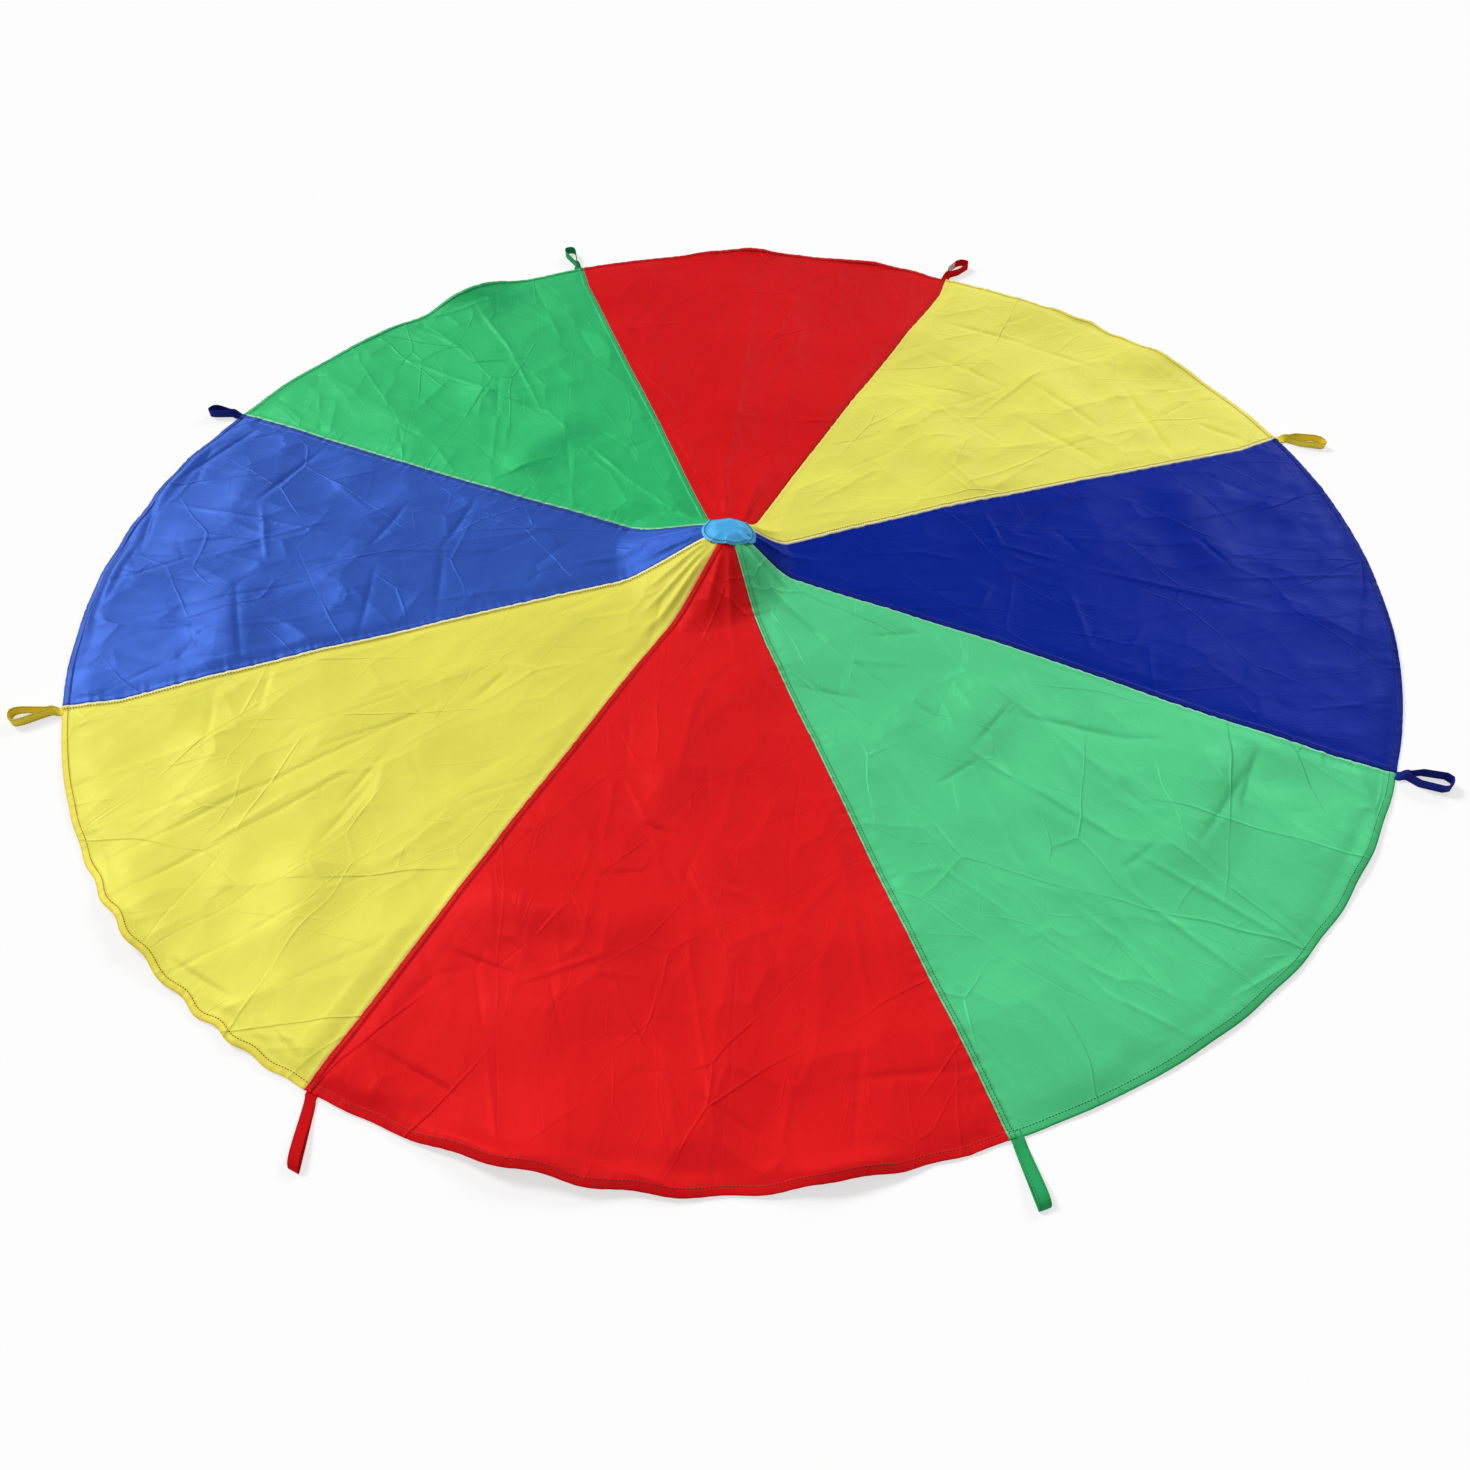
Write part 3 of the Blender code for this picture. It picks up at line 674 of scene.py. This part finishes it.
def normals_of(gore, radii, angles):
    """The cloth's points at these places and its normals there, leaned halfway to upright."""
    nudge = 0.0015
    turn = nudge / radii
    middle = cloth_surface(gore, radii, angles)
    outward = cloth_surface(gore, radii + nudge, angles) - cloth_surface(gore, radii - nudge, angles)
    sideways = cloth_surface(gore, radii, angles + turn) - cloth_surface(gore, radii, angles - turn)
    up = np.cross(outward, sideways)
    up /= np.linalg.norm(up, axis=1)[:, None]
    up = up * 0.5 + np.array((0, 0, 0.5))
    up /= np.linalg.norm(up, axis=1)[:, None]
    return middle, up


def seam_stitches(seam, material):
    rim = float(rim_radius(np.array(TAU * seam / GORES)))
    radii = np.arange(SEAM_STITCHES_FROM, rim - 0.001, SEWING_STEP)
    paths = []
    for inset in STITCH_INSETS[COLOURS[seam % 4]]:
        angles = seam_angle(seam, radii) + np.arcsin(inset / radii)
        paths.append(normals_of(seam, radii, angles))
    return stitches(f"seam_stitching_{seam + 1}", paths, material)


def hem_stitches(material):
    paths = []
    for gore in range(GORES):
        start = float(seam_angle(gore, 1 - HEM_STITCH_INSET)) + HEM_STITCH_START
        end = float(seam_angle(gore + 1, 1 - HEM_STITCH_INSET)) - HEM_STITCH_END
        angles = np.arange(start, end, SEWING_STEP)
        paths.append(normals_of(gore, rim_radius(angles) - HEM_STITCH_INSET, angles))
    return stitches("hem_stitching", paths, material)


# The cap

CAP_RADIUS = 0.040
CAP_LIFT = 0.0012
CAP_SEGMENTS = 144
# The rings of points inside the cap's edge, and the close ones over its turned edge
CAP_RINGS = (*np.linspace(0.004, CAP_RADIUS - 0.005, 11), 0.0362, 0.0376, 0.0390, 0.0398, 0.0400)
CAP_TUCK = 0.030
CAP_THICKNESS = 0.0007
CAP_STITCH_INSET = 0.0045
# The cap's folds: direction, half-width in degrees, height
CAP_FOLDS = (
    (20, 11, 0.0030), (70, 9, 0.0022), (125, 10, 0.0034), (168, 8, -0.0020), (205, 10, 0.0026),
    (248, 8, 0.0034), (281, 9, -0.0034), (303, 7, 0.0046), (331, 9, -0.0026), (350, 7, 0.0030),
)


def cap_plan(angle):
    """The cap's outline against a true round: drawn out to one side by its folds."""
    tip = np.exp(-((turn_between(angle, 325) / 24) ** 2))
    return 0.93 + 0.10 * np.cos(2 * (angle - 2.75)) + 0.085 * tip + 0.012 * np.cos(7 * angle)


def cap_surface(radius, angle):
    """The cap draped on the hub, pinched by folds that deepen outward."""
    radius, angle = np.broadcast_arrays(np.asarray(radius, float), np.asarray(angle, float))
    share = radius / CAP_RADIUS
    plan = radius * (1 + (cap_plan(angle) - 1) * smooth(share * 1.4))
    z = lay_height(np.maximum(plan, 1e-4), angle) + CLOTH_LIFT + BAND_RISE * 1.4 + CAP_LIFT
    for direction, width, rise in CAP_FOLDS:
        across = turn_between(angle, direction) / width
        z = z + rise * smooth(share * 1.15 - 0.15) * np.exp(-np.sqrt(across**2 + 0.05))
    x, y = plan * np.cos(angle) + LEAN[0], plan * np.sin(angle) + LEAN[1]
    return np.stack([x, y, z], axis=-1)


def build_cap(material):
    turn = np.arange(CAP_SEGMENTS) * TAU / CAP_SEGMENTS
    points = [cap_surface(0.0, 0.0)]
    for radius in CAP_RINGS:
        row = cap_surface(radius, turn)
        row[:, 2] += 0.0006 * smooth((radius - 0.034) / 0.001) * (1 - smooth((radius - 0.0385) / 0.0015))
        points.extend(row)
    for radius in (CAP_RADIUS - 0.0002, CAP_TUCK):
        row = cap_surface(radius, turn)
        row[:, 2] -= CAP_THICKNESS
        points.extend(row)
    faces = [(0, 1 + i, 1 + (i + 1) % CAP_SEGMENTS) for i in range(CAP_SEGMENTS)]
    for r in range(len(CAP_RINGS) + 1):
        a, b = 1 + r * CAP_SEGMENTS, 1 + (r + 1) * CAP_SEGMENTS
        for i in range(CAP_SEGMENTS):
            j = (i + 1) % CAP_SEGMENTS
            faces.append((a + i, b + i, b + j, a + j))
    return make_mesh("cloth_cap", points, faces, material)


def cap_stitches(material):
    angles = np.append(np.arange(0, TAU, 0.06), TAU)
    radius = np.full_like(angles, CAP_RADIUS - CAP_STITCH_INSET)
    path = cap_surface(radius, angles)
    path[:, 2] += 0.0010
    up = np.tile(np.array((0.0, 0.0, 1.0)), (len(angles), 1))
    return stitches("cap_stitching", [(path, up)], material, radius=0.0007)


# The hand loops

STRAP_WIDTH = 0.015
STRAP_THICKNESS = 0.0008
STRAP_SLIT = 0.0004
STRAP_LEG = 0.084
NOSE_RADIUS = STRAP_THICKNESS + STRAP_SLIT / 2
HINGE_HEIGHT = 0.0023
HINGE_OUT = 0.0005 + NOSE_RADIUS
TWIST_START = 0.001
TWIST_LENGTH = 0.014
DRIFT_START = 0.006
EYE_HALF_WIDTH = 0.012
# Each loop's roll and drift in degrees, shares of the eye's half-width and of the leg, and how far
# it sits past its seam in strap widths
LOOP_LAYS = (
    (95, -30, 1.10, 0.90, -0.30),
    (90, -13, 1.15, 0.98, 0.00),
    (-90, 1, 0.85, 0.98, 0.70),
    (-90, 14, 0.75, 0.72, 0.50),
    (-90, -5, 1.00, 0.90, 0.70),
    (0, 27, 0.34, 0.91, 0.75),
    (0, -5, 0.38, 0.93, 0.60),
    (90, 10, 1.15, 0.93, -0.30),
)
CREASED_LOOPS = (0, 1, 7)
LEG_STEPS = 40
NOSE_HOLD = 0.45
TIP_PULL = 2.25
ROOT_REACH = 0.009
ROOT_STEP = 0.0015
# Where a creased loop's strap bends: shares of the reach and of the half-width
CREASED_LEG = ((0.16, 0.12), (0.42, 0.78), (0.86, 0.92), (0.985, 0.55))
# Along the strap, the blend from canopy to loop starts before the hinge and ends past it
LOOP_STITCH_ACROSS = 0.0055
LOOP_STITCH_FROM = 0.004
LOOP_STITCH_LIFT = 0.00045
TAB_SEAM = 1
TAB_START = 0.30
TAB_LENGTH = 0.032
TAB_LIFT = 0.0010
# The tab's section: across, and off its middle
TAB_SECTION = (
    (-0.00625, 0.0003), (-0.003, 0.00035), (0.003, 0.00035),
    (0.00625, 0.0003), (0.00625, -0.0003), (-0.00625, -0.0003),
)


def creased_leg(reach, half_width):
    start = (STRAP_THICKNESS + STRAP_SLIT) / 2
    bends = [(reach * a, max(start, half_width * b)) for a, b in CREASED_LEG]
    corners = np.array([(0.0, start), *bends, (reach, 0.0)])
    along = distances(corners)
    place = np.linspace(0, along[-1], 6 * LEG_STEPS + 1)
    line = np.stack([np.interp(place, along, corners[:, a]) for a in range(2)], axis=-1)
    for _ in range(10):
        line[1:-1] = (line[:-2] + 2 * line[1:-1] + line[2:]) / 4
    return line[::6]


def leg_points(reach, half_width, creased):
    if creased:
        return creased_leg(reach, half_width)
    start = (STRAP_THICKNESS + STRAP_SLIT) / 2
    t = (np.linspace(0, 1, LEG_STEPS + 1) ** 1.2)[:, None]
    controls = np.array(
        ((0, start), (reach * NOSE_HOLD, start), (reach, half_width * TIP_PULL), (reach, 0))
    )
    return (
        (1 - t) ** 3 * controls[0] + 3 * t * (1 - t) ** 2 * controls[1]
        + 3 * t * t * (1 - t) * controls[2] + t**3 * controls[3]
    )


def leg_length(points):
    return np.linalg.norm(np.diff(points, axis=0), axis=1).sum()


class LoopLay:
    """Where one loop's strap lies: its middle line, twisted and carried beside its seam."""

    def __init__(self, seam):
        roll, drift, width_share, length_share, seat = LOOP_LAYS[seam]
        self.roll, self.drift = math.radians(roll), math.tan(math.radians(drift))
        creased = seam in CREASED_LOOPS
        low, high = 0.0, STRAP_LEG * length_share
        half_width, length = EYE_HALF_WIDTH * width_share, high
        for _ in range(40):
            reach = (low + high) / 2
            if leg_length(leg_points(reach, half_width, creased)) > length:
                high = reach
            else:
                low = reach
        leg = leg_points(low, half_width, creased)
        root_steps = range(int(ROOT_REACH / ROOT_STEP))
        root = np.array([(-ROOT_REACH + ROOT_STEP * i, leg[0, 1]) for i in root_steps])
        out = np.concatenate([root, leg])
        self.line = np.concatenate([out, out[:-1][::-1] * (1, -1)])
        self.reach = low
        self.leg = leg_length(leg)
        even = TAU * seam / GORES
        angle = float(seam_angle(seam, 1.0)) + math.asin(STRAP_WIDTH * seat)
        rim = float(rim_radius(np.array(angle)))
        origin = Vector((rim * math.cos(angle), rim * math.sin(angle), HINGE_HEIGHT))
        outward = Vector((math.cos(even), math.sin(even), 0))
        self.origin = origin + outward * HINGE_OUT
        self.outward = outward
        self.place = Matrix.Translation(self.origin) @ Matrix.Rotation(even, 4, "Z")

    def point(self, index, offset, across):
        x, side = self.line[index]
        before, after = self.line[max(index - 1, 0)], self.line[min(index + 1, len(self.line) - 1)]
        along = (after - before) / np.linalg.norm(after - before)
        moved = self.line[index] + np.array((along[1], -along[0])) * offset
        roll = self.roll * float(smooth((x - TWIST_START) / TWIST_LENGTH))
        lift = STRAP_WIDTH / 2 * abs(math.sin(roll)) + (abs(side) + STRAP_THICKNESS / 2) * math.cos(roll)
        lift += -HINGE_HEIGHT + (HINGE_HEIGHT - NOSE_RADIUS) * (1 - float(smooth(x / TWIST_LENGTH)))
        drift = self.drift * x * float(smooth(x / DRIFT_START))
        c, s = math.cos(roll), math.sin(roll)
        return Vector((moved[0], across * c - moved[1] * s + drift, across * s + moved[1] * c + lift))


# The upper half of the strap's section: across, and off its middle
STRAP_SECTION = (
    (-0.0075, 0.0000), (-0.0072, 0.0003), (-0.0060, 0.00042), (-0.0045, 0.00046), (0.0, 0.00050),
    (0.0045, 0.00046), (0.0060, 0.00042), (0.0072, 0.0003), (0.0075, 0.0000),
)


def build_strip(name, rows, material):
    points = [p for row in rows for p in row]
    n = len(rows[0])
    faces = []
    for r in range(len(rows) - 1):
        for i in range(n):
            j = (i + 1) % n
            faces.append((r * n + i, r * n + j, (r + 1) * n + j, (r + 1) * n + i))
    faces.append(tuple(range(n))[::-1])
    faces.append(tuple((len(rows) - 1) * n + i for i in range(n)))
    return make_mesh(name, points, faces, material)


def build_loop(seam, material):
    lay = LoopLay(seam)
    ring = [(a, t) for a, t in STRAP_SECTION] + [(a, -t) for a, t in STRAP_SECTION[-2:0:-1]]
    rows = []
    for index in range(len(lay.line)):
        rows.append([lay.place @ lay.point(index, t, a) for a, t in ring])
    return lay, build_strip(f"strap_loop_{seam + 1}_{COLOURS[seam % 4]}", rows, material)


def loop_stitches(seam, lay, material):
    paths = []
    indices = [i for i in range(len(lay.line)) if lay.line[i][0] > LOOP_STITCH_FROM]
    for across in (-LOOP_STITCH_ACROSS, LOOP_STITCH_ACROSS):
        for side in (1, -1):
            path = np.array([lay.place @ lay.point(i, side * LOOP_STITCH_LIFT, across) for i in indices])
            inner = np.array([lay.place @ lay.point(i, 0.0, across) for i in indices])
            up = path - inner
            up /= np.linalg.norm(up, axis=1)[:, None]
            paths.append((path, up))
    return stitches(f"loop_stitching_{seam + 1}", paths, material, radius=0.00028)


def build_tab(lay, material):
    start = lay.reach * TAB_START
    rows = []
    for index in range(len(lay.line)):
        x, side = lay.line[index]
        if side < 0 and start <= x <= start + TAB_LENGTH:
            rows.append([lay.place @ lay.point(index, TAB_LIFT + t, a) for a, t in TAB_SECTION])
    return build_strip("blank_tab", rows, material)


# Materials


def node_material(name):
    material = bpy.data.materials.new(name)
    material.use_nodes = True
    tree = material.node_tree
    return material, tree, tree.nodes["Principled BSDF"]


def set_inputs(tree, node, inputs):
    """Links each socket to a node's output, or sets the value on the socket itself."""
    for key, value in inputs.items():
        if isinstance(value, bpy.types.NodeSocket):
            tree.links.new(value, node.inputs[key])
        else:
            node.inputs[key].default_value = value


def add_node(tree, kind, inputs, **settings):
    node = tree.nodes.new("ShaderNode" + kind)
    for name, value in settings.items():
        setattr(node, name, value)
    set_inputs(tree, node, inputs)
    return node


def mix_colour(tree, factor, a, b):
    a, b = (c if isinstance(c, bpy.types.NodeSocket) else (*c, 1) for c in (a, b))
    return add_node(tree, "Mix", {0: factor, 6: a, 7: b}, data_type="RGBA").outputs[2]


def noise(tree, scale, detail, coordinates, distortion=0.0):
    inputs = {"Scale": scale, "Detail": detail, "Distortion": distortion, "Vector": coordinates}
    return add_node(tree, "TexNoise", inputs).outputs["Fac"]


def product(tree, a, b):
    return add_node(tree, "Math", {0: a, 1: b}, operation="MULTIPLY").outputs[0]


def map_range(tree, value, low, high, to_low, to_high):
    inputs = {"Value": value, "From Min": low, "From Max": high, "To Min": to_low, "To Max": to_high}
    return add_node(tree, "MapRange", inputs).outputs["Result"]


def bump(tree, height, distance, strength=1.0, normal=None):
    inputs = {"Strength": strength, "Distance": distance, "Height": height}
    if normal:
        inputs["Normal"] = normal
    return add_node(tree, "Bump", inputs).outputs["Normal"]


def crease_bump(tree, coordinates, turn, strength):
    """Fine straight creases in nets of long cells, drawn out along the gore."""
    warp = add_node(tree, "TexNoise", {"Scale": 7.0, "Detail": 1.0, "Vector": coordinates})
    shifted = {0: warp.outputs["Color"], 1: (0.03, 0.03, 0.0), 2: coordinates}
    shift = add_node(tree, "VectorMath", shifted, operation="MULTIPLY_ADD")
    normal = None
    for cells, stretch, skew, depth, width, patches in FINE_CREASES:
        turned = {
            "Rotation": (0, 0, turn + math.radians(skew)), "Scale": (stretch, 1, 1),
            "Vector": shift.outputs["Vector"],
        }
        mapping = add_node(tree, "Mapping", turned, vector_type="TEXTURE")
        net = add_node(
            tree, "TexVoronoi", {"Scale": cells, "Vector": mapping.outputs["Vector"]},
            voronoi_dimensions="2D", feature="DISTANCE_TO_EDGE",
        )
        line = map_range(tree, net.outputs["Distance"], 0.0, width * cells, 1.0, 0.0)
        patch = map_range(tree, noise(tree, patches, 2.0, coordinates), 0.42, 0.62, -0.25, 1.0)
        line = product(tree, product(tree, line, line), patch)
        normal = bump(tree, line, depth * strength, 1.0, normal)
    return normal


def weave(tree, coordinates, period, turn):
    mapping = add_node(tree, "Mapping", {"Rotation": (0, 0, turn), "Vector": coordinates})
    inputs = {"Scale": TAU / 20 / period, "Vector": mapping.outputs["Vector"]}
    heights = [
        add_node(tree, "TexWave", inputs, bands_direction=axis).outputs["Fac"]
        for axis in ("X", "Y")
    ]
    return product(tree, *heights)


# How deep each cloth's fine creases are
CREASED = {"yellow": 1.05, "red": 1.0, "green": 0.85, "blue": 0.65}
# Fine creases: cells in a metre, stretch, skew in degrees, depth, half-width, scale of their patches
FINE_CREASES = (
    (7.0, 3.6, 18, 0.00120, 0.0034, 3.0),
    (9.0, 3.0, -42, 0.00100, 0.0030, 4.0),
    (24.0, 2.4, 4, 0.00036, 0.0022, 6.0),
)


def cloth_material(
    name, colour, deep, turn=0.0, gloss=0.3, satin=0.0, tint=(1, 1, 1), roughness=0.5, uneven=0.6, creased=0.0
):
    """Filament taffeta: its threads run along turn, so its gloss spreads across them."""
    material, tree, shader = node_material(name)
    coordinates = tree.nodes.new("ShaderNodeTexCoord").outputs["Object"]
    cloudy = map_range(tree, noise(tree, 5.0, 3.0, coordinates), 0.3, 0.7, 0.0, 1.0)
    pale = tuple(min(1.0, c * 1.05 + 0.002) for c in colour)
    dark = tuple(c * 0.95 for c in colour)
    base = mix_colour(tree, cloudy, dark, pale)
    slub = map_range(tree, noise(tree, 900.0, 1.0, coordinates), 0.35, 0.65, 0.0, 0.08)
    base = mix_colour(tree, slub, base, tuple(c * 0.6 for c in colour))
    # the pale attribute mixes in a painted highlight along the seams' raised edges
    painted_edge_highlight = tuple(c * 0.45 + 0.5 for c in colour)
    # the layers attribute mixes in the doubled cloth's colour, which at the hem's turned edge and underside
    # is painted shade
    for attribute, over in (("layers_and_rim_shade", deep), ("pale", painted_edge_highlight)):
        mark = add_node(tree, "Attribute", {}, attribute_name=attribute)
        base = mix_colour(tree, mark.outputs["Fac"], base, over)
    rough = noise(tree, 30.0, 2.0, coordinates)
    across = add_node(tree, "CombineXYZ", {0: -math.sin(turn), 1: math.cos(turn)})
    creases = crease_bump(tree, coordinates, turn, creased) if creased else None
    crinkle = bump(tree, noise(tree, 120.0, 3.0, coordinates, 0.4), 0.00025, 0.6, creases)
    set_inputs(tree, shader, {
        "Base Color": base, "Metallic": satin, "Specular IOR Level": gloss, "Specular Tint": (*tint, 1),
        "Roughness": map_range(tree, rough, 0.3, 0.7, roughness - 0.04, roughness + 0.05),
        "Anisotropic": uneven, "Tangent": across.outputs[0],
        "Normal": bump(tree, weave(tree, coordinates, 0.0005, -turn), 0.00004, 0.5, crinkle),
    })
    return material


def thread_material(name, colour):
    material, tree, shader = node_material(name)
    coordinates = tree.nodes.new("ShaderNodeTexCoord").outputs["Object"]
    shade = map_range(tree, noise(tree, 400.0, 2.0, coordinates), 0.3, 0.7, 0.0, 1.0)
    dark, pale = (tuple(c * share for c in colour) for share in (0.7, 1.3))
    set_inputs(tree, shader, {
        "Base Color": mix_colour(tree, shade, dark, pale), "Roughness": 0.75,
        "Normal": bump(tree, noise(tree, 2500.0, 1.0, coordinates), 0.0001, 0.6),
    })
    return material


# Each cloth's colour where it is doubled, also used as painted shade on the hem's turned edge and underside,
# its gloss, its satin and the gloss's tint
CLOTH = {
    "yellow": ((0.78, 0.56, 0.035), 0.10, 0.04, (1.0, 1.0, 0.6)),
    "red": ((0.58, 0.006, 0.008), 0.03, 0.08, (1.0, 0.5, 0.5)),
    "green": ((0.015, 0.30, 0.075), 0.12, 0.15, (0.4, 1.0, 0.8)),
    "blue": ((0.004, 0.012, 0.16), 0.22, 0.24, (0.1, 0.5, 1.0)),
}
# Each gore's colour, set per gore: the two reds and the two yellows differ a little, while the blues and
# greens are lit and shaded copies, with painted sheen on the fourth and seventh gores and painted shade on
# the eighth
GORE_COLOURS_WITH_PAINTED_LIGHT = (
    (0.780, 0.735, 0.115), (0.640, 0.005, 0.007), (0.019, 0.430, 0.130), (0.029, 0.088, 0.440),
    (0.770, 0.720, 0.100), (0.680, 0.009, 0.011), (0.080, 0.560, 0.225), (0.002, 0.016, 0.270),
)
# The blue gore painted darker as painted shade, which also shines less
PAINTED_SHADE_GORE = 7
STRAP_COLOURS = {
    "yellow": (0.86, 0.68, 0.060), "red": (0.62, 0.006, 0.008),
    "green": (0.022, 0.34, 0.105), "blue": (0.008, 0.014, 0.20),
}
STRAP_ROUGHNESS = 0.6
CAP_COLOUR = (0.070, 0.429, 0.831)
CAP_DEEP = (0.05, 0.33, 0.72)
CAP_TINT = (0.6, 0.9, 1.0)
TAB_COLOUR = (0.72, 0.70, 0.68)
THREAD_COLOUR = (0.040, 0.018, 0.013)


def gore_cloth(gore):
    name = COLOURS[gore % 4]
    deep, gloss, satin, tint = CLOTH[name]
    if gore == PAINTED_SHADE_GORE:
        gloss, satin = gloss * 0.3, satin * 0.55
    turn = TAU * (gore + 0.5) / GORES
    # each gore's colour carries its painted sheen or painted shade
    return cloth_material(
        f"{name}_taffeta_{gore + 1}", GORE_COLOURS_WITH_PAINTED_LIGHT[gore], deep, turn, gloss, satin, tint,
        creased=CREASED[name],
    )


def strap_cloth(name):
    colour = STRAP_COLOURS[name]
    _, gloss, _, tint = CLOTH[name]
    return cloth_material(
        f"{name}_strap", colour, colour, gloss=gloss * 0.5, tint=tint, roughness=STRAP_ROUGHNESS, uneven=0.0
    )


straps = {name: strap_cloth(name) for name in STRAP_COLOURS}
cap_cloth = cloth_material("cap_taffeta", CAP_COLOUR, CAP_DEEP, satin=0.1, tint=CAP_TINT)
tab_cloth = cloth_material("tab_satin", TAB_COLOUR, TAB_COLOUR)
thread = thread_material("sewing_thread", THREAD_COLOUR)


# Build everything


LEAST_HEIGHT = 0.0001


def keep_above_floor(piece):
    places = np.empty(3 * len(piece.data.vertices), np.float32)
    piece.data.vertices.foreach_get("co", places)
    places[2::3] = np.maximum(places[2::3], LEAST_HEIGHT)
    piece.data.vertices.foreach_set("co", places)
    piece.data.update()


for gore in range(GORES):
    colour = COLOURS[gore % 4]
    piece = build_gore(gore, gore_cloth(gore))
    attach(piece, "canopy")
    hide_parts(f"gore_{gore + 1}_{colour}")
    sewn = seam_stitches(gore, thread)
    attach(sewn, "canopy")
    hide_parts(f"seam_thread_{gore + 1}")

hem_sewn = hem_stitches(thread)
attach(hem_sewn, "canopy")
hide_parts("hem_thread")

cap = build_cap(cap_cloth)
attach(cap, "canopy")
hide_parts("centre_cap")
cap_sewn = cap_stitches(thread)
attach(cap_sewn, "canopy")
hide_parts("cap_thread")

for seam in range(GORES):
    colour = COLOURS[seam % 4]
    lay, loop = build_loop(seam, straps[colour])
    keep_above_floor(loop)
    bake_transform(loop)
    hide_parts(f"hand_loop_{seam + 1}_{colour}")
    sewn = loop_stitches(seam, lay, thread)
    keep_above_floor(sewn)
    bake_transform(sewn)
    if seam == TAB_SEAM:
        tab = build_tab(lay, tab_cloth)
        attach(tab, "loop_2")
        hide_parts("sewn_tab")


# Floor, light and camera


WHITE = (1, 1, 1, 1)
FLOOR_HALF_WIDTH = 30.0
FLOOR_GREY = 0.96
# How far the camera's own rays see the floor as white
FLOOR_WHITE = 0.60
SKY_STRENGTH = 0.27
# Each lamp: its name, azimuth, elevation and strength
LAMPS = (
    ("softbox_left", 122, 38, 2.40),
    ("softbox_right", 38, 28, 1.00),
    ("softbox_front", 250, 50, 0.45),
)
LAMP_SPREAD = 18
CAMERA_PLACE = (-0.42504, -1.42053, 1.2616)
CAMERA_TILT = 41.498
CAMERA_TURN = -19.264
SENSOR_WIDTH = 36.0
# The lens in pixels of the photograph, and the photograph's width
FOCAL_PIXELS = 1211.1
PHOTO_PIXELS = 1470
CAMERA_SHIFT = -0.030


def build_floor():
    mesh = bpy.data.meshes.new("floor")
    size = FLOOR_HALF_WIDTH
    corners = [(-size, -size, 0), (size, -size, 0), (size, size, 0), (-size, size, 0)]
    mesh.from_pydata(corners, [], [(0, 1, 2, 3)])
    floor = add_object("floor", mesh)
    material, tree, shader = node_material("floor_white")
    set_inputs(tree, shader, {
        "Base Color": (FLOOR_GREY, FLOOR_GREY, FLOOR_GREY, 1), "Roughness": 0.9, "Specular IOR Level": 0.0,
    })
    glow = add_node(tree, "Emission", {"Color": WHITE})
    ray = tree.nodes.new("ShaderNodeLightPath")
    share = product(tree, ray.outputs["Is Camera Ray"], FLOOR_WHITE)
    both = add_node(tree, "MixShader", {
        "Fac": share, 1: shader.outputs["BSDF"], 2: glow.outputs["Emission"],
    })
    tree.links.new(both.outputs["Shader"], tree.nodes["Material Output"].inputs["Surface"])
    mesh.materials.append(material)


build_floor()

world = bpy.data.worlds.new("studio")
bpy.context.scene.world = world
world.use_nodes = True
tree = world.node_tree
sky = tree.nodes["Background"]
set_inputs(tree, sky, {"Color": WHITE, "Strength": SKY_STRENGTH})
seen = add_node(tree, "Background", {"Color": WHITE})
path = tree.nodes.new("ShaderNodeLightPath")
choose = add_node(tree, "MixShader", {
    "Fac": path.outputs["Is Camera Ray"], 1: sky.outputs["Background"], 2: seen.outputs["Background"],
})
tree.links.new(choose.outputs["Shader"], tree.nodes["World Output"].inputs["Surface"])


def softbox(name, azimuth, elevation, strength):
    """A far, broad lamp that gives the whole sheet the same light."""
    light = bpy.data.lights.new(name, "SUN")
    light.angle = math.radians(LAMP_SPREAD)
    light.energy = strength
    lamp = add_object(name, light)
    lamp.rotation_euler = (0.0, math.radians(90 - elevation), math.radians(azimuth))


for lamp_name, azimuth, elevation, strength in LAMPS:
    softbox(lamp_name, azimuth, elevation, strength)

camera_data = bpy.data.cameras.new("camera")
camera = add_object("camera", camera_data)
camera.location = CAMERA_PLACE
camera.rotation_euler = (math.radians(CAMERA_TILT), 0.0, math.radians(CAMERA_TURN))
camera_data.sensor_width = SENSOR_WIDTH
camera_data.lens = SENSOR_WIDTH * FOCAL_PIXELS / PHOTO_PIXELS
camera_data.shift_x = CAMERA_SHIFT
bpy.context.scene.camera = camera
bpy.context.scene.view_settings.view_transform = "Standard"
